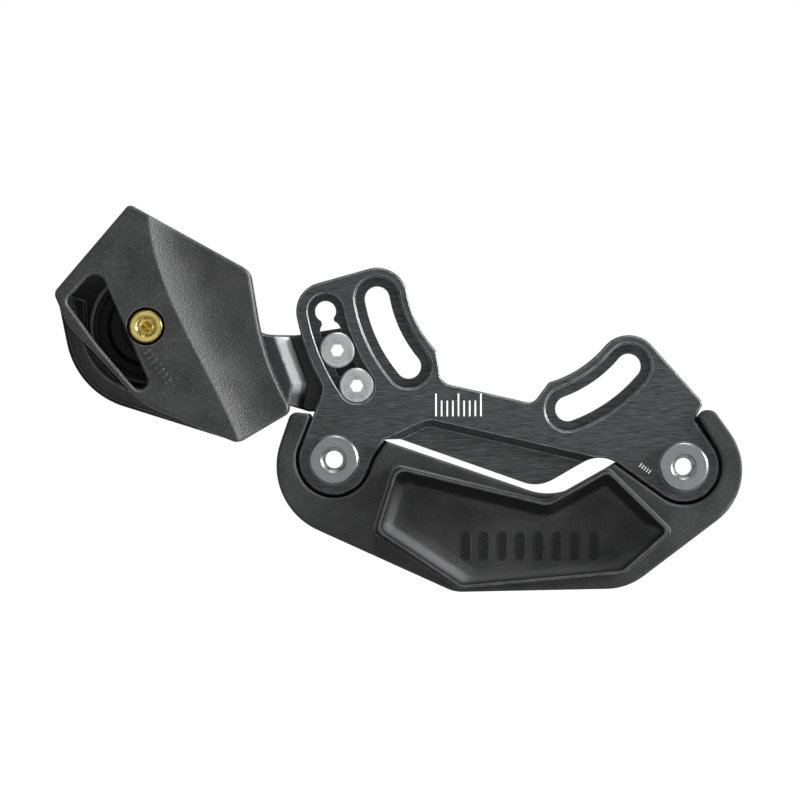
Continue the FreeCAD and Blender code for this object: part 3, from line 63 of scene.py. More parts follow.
class Shader:
    """One node tree under construction, with short calls for adding and linking nodes."""

    # Factor, first colour and second colour among a Mix node's inputs, and its colour output.
    MIX_INPUTS = (0, 6, 7)
    MIX_RESULT = 2
    BEVEL_SAMPLES = 6

    def __init__(self, tree: bpy.types.NodeTree) -> None:
        """Start on the node tree of a material, a group or the world."""
        self.tree = tree

    def add(self, kind: str, **values: object) -> bpy.types.Node:
        """Add a node.

        Args:
            kind: The node's type name without its ShaderNode prefix.
            values: Properties to set on it.

        Returns:
            The new node.
        """
        node = self.tree.nodes.new("ShaderNode" + kind)
        for name, value in values.items():
            setattr(node, name, value)
        return node

    def wire(self, source: bpy.types.NodeSocket, target: bpy.types.NodeSocket) -> None:
        """Link an output socket to an input socket."""
        self.tree.links.new(source, target)

    def feed(self, target: bpy.types.NodeSocket, value: Value) -> None:
        """Give an input what it reads.

        Args:
            target: The input socket.
            value: An output socket to link, or a number or colour to set.
        """
        if isinstance(value, bpy.types.NodeSocket):
            self.wire(value, target)
        elif isinstance(value, tuple):
            target.default_value = (*value, 1.0)
        else:
            target.default_value = value

    def math(self, operation: str, *values: Value, clamp: bool = False) -> bpy.types.NodeSocket:
        """Add a Math node.

        Args:
            operation: The Math node's operation.
            values: A socket or a number for each input.
            clamp: Whether to clamp the result to 0..1.

        Returns:
            The result socket.
        """
        node = self.add("Math", operation=operation, use_clamp=clamp)
        for target, value in zip(node.inputs, values):
            self.feed(target, value)
        return node.outputs[0]

    def mix(self, share: Value, first: Value, second: Value) -> bpy.types.NodeSocket:
        """Mix two colours.

        Args:
            share: A socket or a number: how much of the second shows.
            first: A socket or a colour.
            second: A socket or a colour.

        Returns:
            The result socket.
        """
        node = self.add("Mix", data_type="RGBA")
        for index, value in zip(self.MIX_INPUTS, (share, first, second)):
            self.feed(node.inputs[index], value)
        return node.outputs[self.MIX_RESULT]

    def span(
        self, value: bpy.types.NodeSocket, source: Range, result: Range = (0.0, 1.0)
    ) -> bpy.types.NodeSocket:
        """Map a range of values smoothly onto another.

        Args:
            value: The socket to read.
            source: The values that give the two ends of the result.
            result: Those two ends.

        Returns:
            The result socket.
        """
        node = self.add("MapRange", interpolation_type="SMOOTHSTEP")
        self.wire(value, node.inputs["Value"])
        for name, number in zip(("From Min", "From Max", "To Min", "To Max"), (*source, *result)):
            node.inputs[name].default_value = number
        return node.outputs["Result"]

    def here(self) -> bpy.types.NodeSocket:
        """Object coordinates."""
        return self.add("TexCoord").outputs["Object"]

    def true_normal(self) -> bpy.types.NodeSocket:
        """The way that the face itself looks, without bump or rounding."""
        return self.add("NewGeometry").outputs["True Normal"]

    def split(self, vector: bpy.types.NodeSocket) -> bpy.types.NodeOutputs:
        """Take a vector apart.

        Args:
            vector: The socket to read.

        Returns:
            Its X, Y and Z, by name.
        """
        node = self.add("SeparateXYZ")
        self.wire(vector, node.inputs[0])
        return node.outputs

    def join(self, **axes: Value) -> bpy.types.NodeSocket:
        """Put a vector together.

        Args:
            axes: A socket or a number for X, Y and Z, where they aren't 0.

        Returns:
            The vector's socket.
        """
        node = self.add("CombineXYZ")
        for axis, value in axes.items():
            self.feed(node.inputs[axis], value)
        return node.outputs[0]

    def dot(self, first: bpy.types.NodeSocket, second: Value) -> bpy.types.NodeSocket:
        """The dot product of two vectors.

        Args:
            first: A socket.
            second: A socket or a plain vector.

        Returns:
            The result socket.
        """
        node = self.add("VectorMath", operation="DOT_PRODUCT")
        self.wire(first, node.inputs[0])
        if isinstance(second, tuple):
            node.inputs[1].default_value = second
        else:
            self.wire(second, node.inputs[1])
        return node.outputs["Value"]

    def noise(
        self, vector: bpy.types.NodeSocket, scale: Value, detail: float
    ) -> bpy.types.NodeSocket:
        """Add a noise in space.

        Args:
            vector: Where to read it.
            scale: A socket or a number.
            detail: How many finer layers it has.

        Returns:
            Its value, about 0.5.
        """
        node = self.add("TexNoise", noise_dimensions="3D")
        self.wire(vector, node.inputs["Vector"])
        self.feed(node.inputs["Scale"], scale)
        node.inputs["Detail"].default_value = detail
        return node.outputs[0]

    def rounded(self, radius: Value) -> bpy.types.NodeSocket:
        """The normal as if edges were rounded.

        Args:
            radius: A socket or a number, in metres.

        Returns:
            The normal's socket.
        """
        node = self.add("Bevel", samples=self.BEVEL_SAMPLES)
        self.feed(node.inputs["Radius"], radius)
        return node.outputs[0]


class EffectGroup:
    """A shader effect that several materials share, built once as a node group."""

    label = "effect"
    inputs: tuple[tuple[str, float], ...] = ()
    outputs: tuple[str, ...] = ()

    def __init__(self) -> None:
        """Build the group's tree with its named sockets."""
        self.group = bpy.data.node_groups.new(self.label, "ShaderNodeTree")
        face = self.group.interface
        for name, value in self.inputs:
            socket = face.new_socket(name, in_out="INPUT", socket_type="NodeSocketFloat")
            socket.default_value = value
        for name in self.outputs:
            face.new_socket(name, in_out="OUTPUT", socket_type="NodeSocketFloat")
        self.given = self.group.nodes.new("NodeGroupInput").outputs
        self.sink = self.group.nodes.new("NodeGroupOutput").inputs
        self.build(Shader(self.group))

    def build(self, shader: Shader) -> None:
        """Fill the group's tree.

        Args:
            shader: Calls for the group's tree.
        """

    def place(self, shader: Shader, **values: float) -> bpy.types.NodeOutputs:
        """Put the group into a material.

        Args:
            shader: Calls for the material's tree.
            values: Input values by name, with underscores for spaces.

        Returns:
            The outputs of the group's node, by name.
        """
        node = shader.add("Group", node_tree=self.group)
        for name, value in values.items():
            node.inputs[name.replace("_", " ")].default_value = value
        return node.outputs


class MouldGrain(EffectGroup):
    """Fine spark-eroded grain of a mould, with softer clouds where the plastic flowed."""

    label = "mould grain"
    inputs = (("Grain Size", 0.16), ("Cloud Size", 9.0))
    outputs = ("Grain", "Cloud")
    details = (2.0, 4.0)

    def build(self, shader: Shader) -> None:
        """Noise at two scales in millimetres.

        Args:
            shader: Calls for the group's tree.
        """
        here = shader.here()
        for (size, _), output, detail in zip(self.inputs, self.outputs, self.details):
            scale = shader.math("DIVIDE", 1.0 / MM, self.given[size])
            shader.wire(shader.noise(here, scale, detail), self.sink[output])


class BrushedLines(EffectGroup):
    """Fine scratches along X that brushing leaves before anodising."""

    label = "brushed lines"
    inputs = (("Line Width", 0.10), ("Line Length", 2.6))
    outputs = ("Lines", "Bands")
    widths = (1.0, 3.0)
    details = (4.0, 2.0)

    def build(self, shader: Shader) -> None:
        """Stretched noise, fine and coarse.

        Args:
            shader: Calls for the group's tree.
        """
        here = shader.split(shader.here())
        for output, wider, detail in zip(self.outputs, self.widths, self.details):
            along = shader.math("MULTIPLY", self.given["Line Length"], MM * wider)
            across = shader.math("MULTIPLY", self.given["Line Width"], MM * wider)
            stretched = shader.join(
                X=shader.math("DIVIDE", here["X"], along),
                Y=shader.math("DIVIDE", here["Y"], across),
                Z=shader.math("DIVIDE", here["Z"], across),
            )
            shader.wire(shader.noise(stretched, 1.0, detail), self.sink[output])


class TurningRings(EffectGroup):
    """Tool rings round an axis that runs along Y."""

    label = "turning rings"
    inputs = (("Axis X", 0.0), ("Axis Z", 0.0), ("Ring Step", 0.12))
    outputs = ("Rings", "Radius")
    detail = 2.0

    def build(self, shader: Shader) -> None:
        """Noise read along the distance from the axis.

        Args:
            shader: Calls for the group's tree.
        """
        here = shader.split(shader.here())
        across = shader.math("SUBTRACT", here["X"], self.given["Axis X"])
        up = shader.math("SUBTRACT", here["Z"], self.given["Axis Z"])
        squares = (shader.math("MULTIPLY", across, across), shader.math("MULTIPLY", up, up))
        distance = shader.math("SQRT", shader.math("ADD", *squares))
        radius = shader.math("DIVIDE", distance, MM)
        depth = shader.math("DIVIDE", here["Y"], MM)
        unrolled = shader.join(
            X=shader.math("DIVIDE", radius, self.given["Ring Step"]),
            Y=shader.math("DIVIDE", depth, self.given["Ring Step"]),
        )
        shader.wire(shader.noise(unrolled, 1.0, self.detail), self.sink["Rings"])
        shader.wire(radius, self.sink["Radius"])


class EdgeMask(EffectGroup):
    """A mask that is 1 along rounded-off edges, broken up by noise."""

    label = "edge mask"
    inputs = (("Reach", 0.35), ("Break Size", 1.8))
    outputs = ("Mask",)
    bent: Range = (0.996, 0.95)
    patches: Range = (0.30, 0.62)
    kept: Range = (0.35, 1.0)
    detail = 5.0

    def build(self, shader: Shader) -> None:
        """Compare the rounded normal with the true one.

        Args:
            shader: Calls for the group's tree.
        """
        rounded = shader.rounded(shader.math("MULTIPLY", self.given["Reach"], MM))
        edge = shader.span(shader.dot(rounded, shader.true_normal()), self.bent)
        scale = shader.math("DIVIDE", 1.0 / MM, self.given["Break Size"])
        noise = shader.noise(shader.here(), scale, self.detail)
        broken = shader.span(noise, self.patches, self.kept)
        shader.wire(shader.math("MULTIPLY", edge, broken), self.sink["Mask"])


@dataclass
class Effects:
    """The shared effect groups, built once."""

    grain: MouldGrain = field(default_factory=MouldGrain)
    brushed: BrushedLines = field(default_factory=BrushedLines)
    rings: TurningRings = field(default_factory=TurningRings)
    edge_mask: EdgeMask = field(default_factory=EdgeMask)


# Finishes


def toned(colour: Colour, factor: float) -> Colour:
    """A colour made darker or lighter."""
    return tuple(min(1.0, channel * factor) for channel in colour)


@dataclass(frozen=True)
class Finish:
    """What every finish has: a name, its colour, its gloss and how far the gloss varies."""

    name: str
    colour: Colour
    roughness: float
    metallic: float = 0.0
    specular: float = 0.5
    gloss_range: Range = (0.3, 0.7)
    gloss_change: Range = (-0.05, 0.10)

    def material(self, effects: Effects) -> bpy.types.Material:
        """Make the material.

        Args:
            effects: The shared groups.

        Returns:
            The new material.
        """
        made = bpy.data.materials.new(self.name)
        made.use_nodes = True
        shader = Shader(made.node_tree)
        surface = made.node_tree.nodes["Principled BSDF"]
        for name, value in (
            ("Base Color", self.colour), ("Roughness", self.roughness),
            ("Metallic", self.metallic), ("Specular IOR Level", self.specular),
        ):
            shader.feed(surface.inputs[name], value)
        self.dress(shader, surface, effects)
        return made

    def dress(self, shader: Shader, surface: bpy.types.Node, effects: Effects) -> None:
        """Add what varies over the surface.

        Args:
            shader: Calls for the material's tree.
            surface: The Principled BSDF.
            effects: The shared groups.
        """

    def local(self, shader: Shader, colour: bpy.types.NodeSocket) -> bpy.types.NodeSocket:
        """Change the colour in some places only; here it stays as it is.

        Args:
            shader: Calls for the material's tree.
            colour: The colour so far.

        Returns:
            The colour to use.
        """
        return colour

    def cloud_gloss(
        self, shader: Shader, surface: bpy.types.Node, noise: bpy.types.NodeSocket
    ) -> None:
        """Let the roughness vary about its own value.

        Args:
            shader: Calls for the material's tree.
            surface: The Principled BSDF.
            noise: What it varies with.
        """
        ends = tuple(self.roughness + change for change in self.gloss_change)
        shader.wire(shader.span(noise, self.gloss_range, ends), surface.inputs["Roughness"])


def bump(
    shader: Shader, surface: bpy.types.Node, height: bpy.types.NodeSocket, depth: float,
    edge: float = 0.0,
) -> None:
    """Give a surface relief, and optionally softened edges.

    Args:
        shader: Calls for the material's tree.
        surface: The Principled BSDF.
        height: What stands proud, from 0 to 1.
        depth: Height in metres of a full step.
        edge: Radius in millimetres of the softening, or 0 for none.
    """
    node = shader.add("Bump")
    node.inputs["Distance"].default_value = depth
    node.inputs["Strength"].default_value = 1.0
    shader.wire(height, node.inputs["Height"])
    if edge > 0.0:
        shader.wire(shader.rounded(edge * MM), node.inputs["Normal"])
    shader.wire(node.outputs[0], surface.inputs["Normal"])


@dataclass(frozen=True)
class MouldedNylon(Finish):
    """Dark moulded nylon with fine grain and pale edges, partly lightened by handling and partly a
    painted highlight.
    """

    gloss_range: Range = (0.25, 0.75)
    gloss_change: Range = (-0.06, 0.07)
    grain_size: float = 0.16
    grain_depth: float = 0.000012
    tones: Range = (0.80, 1.22)
    cloud_range: Range = (0.3, 0.7)
    speckle_range: Range = (0.50, 0.80)
    speckle_share: float = 0.12
    edge_colour: Colour = (0.26, 0.26, 0.265)
    edge_share: float = 0.7
    edge_reach: float = 0.45
    edge_break: float = 2.4
    edge_soft: float = 0.3

    def dress(self, shader: Shader, surface: bpy.types.Node, effects: Effects) -> None:
        """Grain relief, cloudy gloss and pale edges, partly from handling and partly painted
        highlight.

        Args:
            shader: Calls for the material's tree.
            surface: The Principled BSDF.
            effects: The shared groups.
        """
        grain = effects.grain.place(shader, Grain_Size=self.grain_size)
        edge_mask = effects.edge_mask.place(shader, Reach=self.edge_reach, Break_Size=self.edge_break)
        darker, lighter = (toned(self.colour, tone) for tone in self.tones)
        clouded = shader.mix(shader.span(grain["Cloud"], self.cloud_range), darker, lighter)
        speckles = shader.span(grain["Grain"], self.speckle_range, (0.0, self.speckle_share))
        speckled = shader.mix(speckles, clouded, self.edge_colour)
        # pale tone on every rounded edge: partly from handling, partly painted highlight
        edge = shader.math("MULTIPLY", edge_mask["Mask"], self.edge_share)
        wear_and_highlight = shader.mix(edge, speckled, self.edge_colour)
        shader.wire(self.local(shader, wear_and_highlight), surface.inputs["Base Color"])
        self.cloud_gloss(shader, surface, grain["Cloud"])
        bump(shader, surface, grain["Grain"], self.grain_depth, self.edge_soft)


@dataclass(frozen=True)
class DishedNylon(MouldedNylon):
    """Nylon whose pocket walls get painted shade high by the rim and painted light low on the walls
    that look up.
    """

    # painted shade for the pocket's steep walls by the rim, painted light for the foot of those
    # that look up
    wall_painted_shade: Colour = (0.008, 0.0081, 0.0084)
    wall_painted_light: Colour = (0.078, 0.0785, 0.080)
    wall: Range = (-0.0108, -0.0072)
    below: Range = (-0.0060, -0.0068)
    rear: Range = (-0.018, -0.008)
    front_share: float = 0.5
    leaning: Range = (-0.90, -0.78)
    upward: Range = (-0.55, -0.05)

    def local(self, shader: Shader, colour: bpy.types.NodeSocket) -> bpy.types.NodeSocket:
        """Painted shade high on the pocket's walls, painted light low on those that look up.

        Args:
            shader: Calls for the material's tree.
            colour: The moulded colour.

        Returns:
            The colour to use.
        """
        here = shader.split(shader.here())
        facing = shader.split(shader.true_normal())
        steep = shader.span(facing["Y"], self.leaning)
        raised = shader.span(here["Y"], self.below)
        low = shader.span(here["Y"], self.wall)
        up = shader.span(facing["Z"], self.upward)
        rear = shader.span(here["X"], self.rear, (1.0, self.front_share))
        # painted light low on the upward walls, weaker towards the front; painted shade on the rest
        # of the steep walls
        painted_light_share = shader.math("MULTIPLY", shader.math("MULTIPLY", low, up), rear)
        walls = shader.mix(painted_light_share, self.wall_painted_shade, self.wall_painted_light)
        return shader.mix(shader.math("MULTIPLY", steep, raised), colour, walls)


@dataclass(frozen=True)
class BrushedAnodised(Finish):
    """Brushed aluminium, anodised black, paler along its milled edges: partly rubbed bare, partly
    painted highlight.
    """

    gloss_change: Range = (-0.05, 0.08)
    line_width: float = 0.085
    line_length: float = 3.4
    line_depth: float = 0.000012
    line_tones: Range = (0.78, 1.1)
    line_range: Range = (0.34, 0.66)
    band_range: Range = (0.35, 0.75)
    band_share: float = 0.22
    contrast: float = 1.0
    edge_colour: Colour = (0.42, 0.43, 0.44)
    edge_share: float = 0.9
    edge_reach: float = 0.22
    edge_break: float = 3.0

    def dress(self, shader: Shader, surface: bpy.types.Node, effects: Effects) -> None:
        """Brush lines in colour, gloss and relief, and pale edges that are partly rubbed bare and
        partly painted highlight.

        Args:
            shader: Calls for the material's tree.
            surface: The Principled BSDF.
            effects: The shared groups.
        """
        lines = effects.brushed.place(
            shader, Line_Width=self.line_width, Line_Length=self.line_length
        )
        edge_mask = effects.edge_mask.place(shader, Reach=self.edge_reach, Break_Size=self.edge_break)
        darker = toned(self.colour, 1.0 - self.line_tones[0] * self.contrast)
        lighter = toned(self.colour, 1.0 + self.line_tones[1] * self.contrast)
        brushed = shader.mix(shader.span(lines["Lines"], self.line_range), darker, lighter)
        bands = shader.span(lines["Bands"], self.band_range, (0.0, self.band_share))
        banded = shader.mix(bands, brushed, lighter)
        # pale tone on every rounded edge: partly rubbed bare, partly painted highlight
        edge = shader.math("MULTIPLY", edge_mask["Mask"], self.edge_share)
        wear_and_highlight = shader.mix(edge, self.local(shader, banded), self.edge_colour)
        shader.wire(wear_and_highlight, surface.inputs["Base Color"])
        self.cloud_gloss(shader, surface, lines["Bands"])
        bump(shader, surface, lines["Lines"], self.line_depth)


@dataclass(frozen=True)
class MilledArm(BrushedAnodised):
    """Anodised arm whose ramp faces get a painted highlight, palest at the foot, where painted
    light makes up for the plate's shadow, and none below the kink.
    """

    ramp_turns: tuple[float, float] = (20.0, -10.0)
    ramp_lean: float = 68.9
    ramp_match: Range = (0.975, 0.990)
    # painted highlight for the ramp faces, paler at the foot to make up for the plate's shadow
    ramp_painted_highlight: Colour = (0.17, 0.171, 0.174)
    foot_painted_highlight: Colour = (0.42, 0.423, 0.43)
    foot: Range = (-0.0052, -0.0030)
    fade: Range = (-0.0312, -0.0282)

    def local(self, shader: Shader, colour: bpy.types.NodeSocket) -> bpy.types.NodeSocket:
        """Painted highlight on the ramp faces, found by the way that they face.

        Args:
            shader: Calls for the material's tree.
            colour: The brushed colour.

        Returns:
            The colour to use.
        """
        true = shader.true_normal()
        here = shader.split(shader.here())
        lean = math.radians(self.ramp_lean)
        ramp = 0.0
        for turn in self.ramp_turns:
            around = math.radians(turn)
            flat = (math.sin(lean) * math.cos(around), math.sin(lean) * math.sin(around))
            facing = shader.dot(true, (flat[0], -math.cos(lean), flat[1]))
            ramp = shader.math("ADD", shader.span(facing, self.ramp_match), ramp)
        above = shader.span(here["Z"], self.fade)
        # painted highlight on the ramp faces above the kink, paler towards the foot
        pale = shader.mix(shader.span(here["Y"], self.foot), self.ramp_painted_highlight, self.foot_painted_highlight)
        return shader.mix(shader.math("MULTIPLY", ramp, above, clamp=True), colour, pale)


@dataclass(frozen=True)
class TurnedMetal(Finish):
    """Turned or headed metal with tool rings round its own axis."""

    axis: tuple[float, float] = (0.0, 0.0)
    ring_step: float = 0.12
    ring_depth: float = 0.000008
    ring_tones: Range = (0.82, 1.12)
    ring_range: Range = (0.3, 0.7)
    # colour of the grease patches, also used for the painted shade in the socket and the darker
    # tone along corners
    grease_and_shade: Colour = (0.10, 0.10, 0.10)
    dirt_share: float = 0.35
    dirt_range: Range = (0.48, 0.66)
    patch_size: float = 3.0
    speck_size: float = 0.25
    speck_share: float = 0.4
    socket: float = 0.0
    socket_fade: float = 0.35
    socket_shade_share: float = 0.7
    corner_share: float = 0.0
    corner_reach: float = 0.25
    corner_break: float = 1.5
    edge_soft: float = 0.12

    def dress(self, shader: Shader, surface: bpy.types.Node, effects: Effects) -> None:
        """Tool rings, darker grease in patches, painted shade in the socket and a darker tone along
        edges and creases.

        Args:
            shader: Calls for the material's tree.
            surface: The Principled BSDF.
            effects: The shared groups.
        """
        rings = effects.rings.place(
            shader, Axis_X=self.axis[0], Axis_Z=self.axis[1], Ring_Step=self.ring_step
        )
        cloud = effects.grain.place(shader, Grain_Size=self.speck_size, Cloud_Size=self.patch_size)
        darker, lighter = (toned(self.colour, tone) for tone in self.ring_tones)
        ringed = shader.mix(shader.span(rings["Rings"], self.ring_range), darker, lighter)
        patches = shader.math("MULTIPLY", cloud["Cloud"], 1.0 - self.speck_share)
        specks = shader.math("MULTIPLY", cloud["Grain"], self.speck_share)
        blotchy = shader.math("ADD", patches, specks)
        greasy = shader.span(blotchy, self.dirt_range, (0.0, self.dirt_share))
        colour = shader.mix(greasy, ringed, self.grease_and_shade)
        # painted shade: the socket darkens towards the axis
        if self.socket > 0.0:
            rim = (self.socket, self.socket + self.socket_fade)
            inside = shader.span(rings["Radius"], rim, (self.socket_shade_share, 0.0))
            colour = shader.mix(inside, colour, self.grease_and_shade)
        if self.corner_share > 0.0:
            edge_mask = effects.edge_mask.place(shader, Reach=self.corner_reach, Break_Size=self.corner_break)
            corner = shader.math("MULTIPLY", edge_mask["Mask"], self.corner_share)
            colour = shader.mix(corner, colour, self.grease_and_shade)
        shader.wire(colour, surface.inputs["Base Color"])
        self.cloud_gloss(shader, surface, cloud["Cloud"])
        bump(shader, surface, rings["Rings"], self.ring_depth, self.edge_soft)


@dataclass(frozen=True)
class SoftTyre(Finish):
    """Soft moulded polyurethane, scuffed where the chain runs."""

    gloss_change: Range = (-0.1, 0.1)
    grain_size: float = 0.3
    grain_depth: float = 0.00002
    cloud_size: float = 2.2
    scuff_tone: float = 1.5
    scuff_range: Range = (0.5, 0.75)
    scuff_share: float = 0.6
    edge_soft: float = 0.25

    def dress(self, shader: Shader, surface: bpy.types.Node, effects: Effects) -> None:
        """Scuffs and fine grain.

        Args:
            shader: Calls for the material's tree.
            surface: The Principled BSDF.
            effects: The shared groups.
        """
        grain = effects.grain.place(shader, Grain_Size=self.grain_size, Cloud_Size=self.cloud_size)
        scuffed = shader.span(grain["Cloud"], self.scuff_range, (0.0, self.scuff_share))
        colour = shader.mix(scuffed, self.colour, toned(self.colour, self.scuff_tone))
        shader.wire(colour, surface.inputs["Base Color"])
        self.cloud_gloss(shader, surface, grain["Cloud"])
        bump(shader, surface, grain["Grain"], self.grain_depth, self.edge_soft)


@dataclass(frozen=True)
class PrintedInk(Finish):
    """Pad-printed ink, slightly thin where the brushed metal stands through."""

    under: Colour = (0.30, 0.30, 0.31)
    line_width: float = 0.12
    line_length: float = 3.0
    line_depth: float = 0.000004
    thin_range: Range = (0.55, 0.8)
    thin_share: float = 0.45

    def dress(self, shader: Shader, surface: bpy.types.Node, effects: Effects) -> None:
        """Thin spots along the brush lines.

        Args:
            shader: Calls for the material's tree.
            surface: The Principled BSDF.
            effects: The shared groups.
        """
        lines = effects.brushed.place(
            shader, Line_Width=self.line_width, Line_Length=self.line_length
        )
        thin = shader.span(lines["Lines"], self.thin_range, (0.0, self.thin_share))
        shader.wire(shader.mix(thin, self.colour, self.under), surface.inputs["Base Color"])
        bump(shader, surface, lines["Lines"], self.line_depth)


# CAD nodes and small details


class Piece(Enum):
    """The CAD nodes by what they are."""

    PLATE = "back_plate"
    GUARD = "bash_guard"
    EAR_BOLT_REAR = "bash_bolt_rear"
    EAR_BOLT_FRONT = "bash_bolt_front"
    EAR_NUT_REAR = "bash_nut_rear"
    EAR_NUT_FRONT = "bash_nut_front"
    ARM = "guide_arm"
    ARM_BOLT_UPPER = "arm_bolt_upper"
    ARM_BOLT_LOWER = "arm_bolt_lower"
    CAGE_OUTER = "cage_outer"
    CAGE_INNER = "cage_inner"
    CAGE_BOLT = "cage_bolt"
    CAGE_SCREW_UPPER = "cage_screw_upper"
    CAGE_SCREW_LOWER = "cage_screw_lower"
    HUB = "roller_hub"
    TYRE = "roller_tyre"
    SLEEVE = "axle_sleeve"
    SPACER = "axle_spacer"
    RACE_INNER = "bearing_inner_race"
    RACE_OUTER = "bearing_outer_race"
    BALLS = "bearing_balls"
    RETAINER = "bearing_retainer"
    SHIELD_INNER = "bearing_shield_inner"
    SHIELD_OUTER = "bearing_shield_outer"

    def axis(self) -> tuple[float, float]:
        """X and Z of the piece's own axis, from its box."""
        low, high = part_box(self.value)
        return (low[0] + high[0]) / 2.0, (low[2] + high[2]) / 2.0


class Wardrobe:
    """Puts finishes on CAD nodes."""

    def __init__(self, nodes: dict[str, bpy.types.Object], effects: Effects) -> None:
        """Keep the CAD nodes by name and the shared groups."""
        self.nodes = nodes
        self.effects = effects

    def put(self, finish: Finish, *pieces: Piece) -> None:
        """Dress CAD nodes, each in a material of its own.

        Args:
            finish: The finish.
            pieces: The nodes that get it.
        """
        for piece in pieces:
            material = finish.material(self.effects)
            data = self.nodes[piece.value].data
            data.materials.clear()
            data.materials.append(material)
            LOG.info("finish %s on %s", material.name, piece.value)


@dataclass(frozen=True)
class Bar:
    """One small bar with rounded ends and a bevelled top, on a face that looks outboard."""

    wide: float
    tall: float
    thick: float
    bevel: float = 0.0
    rounded: float = 0.0
    sink: float = 0.00002
    corner_steps: int = 4

    def outline(self, inset: float) -> list[tuple[float, float]]:
        """Corners of the bar's outline, its foot at the origin.

        Args:
            inset: How far the outline is pulled in.

        Returns:
            X and Z of each corner in metres.
        """
        half = self.wide / 2.0 - inset
        low, high = inset, self.tall - inset
        turn = min(self.rounded - inset, half)
        if turn <= 0.0:
            return [(-half, low), (half, low), (half, high), (-half, high)]
        corners = []
        for x, z, start in (
            (half - turn, low + turn, -90), (half - turn, high - turn, 0),
            (turn - half, high - turn, 90), (turn - half, low + turn, 180),
        ):
            for step in range(self.corner_steps + 1):
                angle = math.radians(start + 90.0 / self.corner_steps * step)
                corners.append((x + turn * math.cos(angle), z + turn * math.sin(angle)))
        return corners

    def build(self) -> bpy.types.Object:
        """Make the bar.

        Returns:
            A helper object that the row's tree repeats.
        """
        levels = [(0.0, self.sink), (0.0, self.bevel - self.thick)]
        if self.bevel > 0.0:
            levels.append((self.bevel, -self.thick))
        build = bmesh.new()
        rings = [
            [build.verts.new((x, depth, z)) for x, z in self.outline(inset)]
            for inset, depth in levels
        ]
        build.faces.new(rings[0])
        build.faces.new(rings[-1][::-1])
        for lower, upper in zip(rings, rings[1:]):
            for here in range(len(lower)):
                there = (here + 1) % len(lower)
                build.faces.new((lower[here], lower[there], upper[there], upper[here]))
        bmesh.ops.recalc_face_normals(build, faces=build.faces)
        data = bpy.data.meshes.new("bar")
        build.to_mesh(data)
        build.free()
        return bpy.data.objects.new("bar", data)


@dataclass(frozen=True)
class Row:
    """A straight row of bars: its name, its bar, how often and how far apart, and where.

    The place is the foot of the first bar, turn is the angle below +X in degrees, and every
    long_every bars one is long_scale times as tall.
    """

    name: str
    bar: Bar
    count: int
    step: float
    place: Place
    turn: float = 0.0
    long_every: int = 1
    long_scale: float = 1.0


class BarRow:
    """A Geometry Nodes tree that repeats a bar in a straight row."""

    INPUTS = (
        ("Bar", "NodeSocketObject"), ("Count", "NodeSocketInt"), ("Step", "NodeSocketFloat"),
        ("Long Every", "NodeSocketInt"), ("Long Scale", "NodeSocketFloat"),
        ("Finish", "NodeSocketMaterial"),
    )

    def __init__(self) -> None:
        """Build the tree with its named inputs."""
        self.tree = bpy.data.node_groups.new("bar row", "GeometryNodeTree")
        face = self.tree.interface
        for name, kind in self.INPUTS:
            face.new_socket(name, in_out="INPUT", socket_type=kind)
        face.new_socket("Geometry", in_out="OUTPUT", socket_type="NodeSocketGeometry")
        self.given = self.tree.nodes.new("NodeGroupInput").outputs
        add, link = self.tree.nodes.new, self.tree.links.new
        offset = add("ShaderNodeCombineXYZ")
        link(self.given["Step"], offset.inputs["X"])
        line = add("GeometryNodeMeshLine")
        link(self.given["Count"], line.inputs["Count"])
        link(offset.outputs[0], line.inputs["Offset"])
        info = add("GeometryNodeObjectInfo")
        link(self.given["Bar"], info.inputs["Object"])
        spread = add("GeometryNodeInstanceOnPoints")
        link(line.outputs["Mesh"], spread.inputs["Points"])
        link(info.outputs["Geometry"], spread.inputs["Instance"])
        link(self.stretch(), spread.inputs["Scale"])
        solid = add("GeometryNodeRealizeInstances")
        link(spread.outputs[0], solid.inputs["Geometry"])
        dressed = add("GeometryNodeSetMaterial")
        link(solid.outputs[0], dressed.inputs["Geometry"])
        link(self.given["Finish"], dressed.inputs["Material"])
        link(dressed.outputs[0], add("NodeGroupOutput").inputs[0])

    def stretch(self) -> bpy.types.NodeSocket:
        """Scale each bar by its place in the row.

        Returns:
            The scale's socket, taller for the first of every Long Every bars.
        """
        nodes = Shader(self.tree)
        index = self.tree.nodes.new("GeometryNodeInputIndex").outputs[0]
        rest = nodes.math("MODULO", index, self.given["Long Every"])
        taller = nodes.add("MapRange")
        nodes.wire(nodes.math("LESS_THAN", rest, 0.5), taller.inputs["Value"])
        nodes.wire(self.given["Long Scale"], taller.inputs["To Max"])
        taller.inputs["To Min"].default_value = 1.0
        return nodes.join(X=1.0, Y=1.0, Z=taller.outputs["Result"])

    def piece(self, row: Row, material: bpy.types.Material) -> bpy.types.Object:
        """Make one row as a plain mesh.

        Args:
            row: What it repeats, and where.
            material: Its finish.

        Returns:
            The new piece.
        """
        carrier = bpy.data.objects.new(row.name, bpy.data.meshes.new(row.name))
        bpy.context.scene.collection.objects.link(carrier)
        helper = row.bar.build()
        repeat = carrier.modifiers.new("row", "NODES")
        repeat.node_group = self.tree
        values = (helper, row.count, row.step, row.long_every, row.long_scale, material)
        sockets = {item.name: item.identifier for item in self.tree.interface.items_tree}
        for (title, _), value in zip(self.INPUTS, values):
            repeat[sockets[title]] = value
        graph = bpy.context.evaluated_depsgraph_get()
        data = bpy.data.meshes.new_from_object(carrier.evaluated_get(graph), depsgraph=graph)
        carrier.modifiers.remove(repeat)
        carrier.data = data
        turned = Matrix.Rotation(math.radians(row.turn), 4, "Y")
        data.transform(Matrix.Translation(row.place) @ turned)
        bpy.data.objects.remove(helper)
        LOG.info("piece %s: %d bars", row.name, row.count)
        return carrier


# The object's sub-assemblies


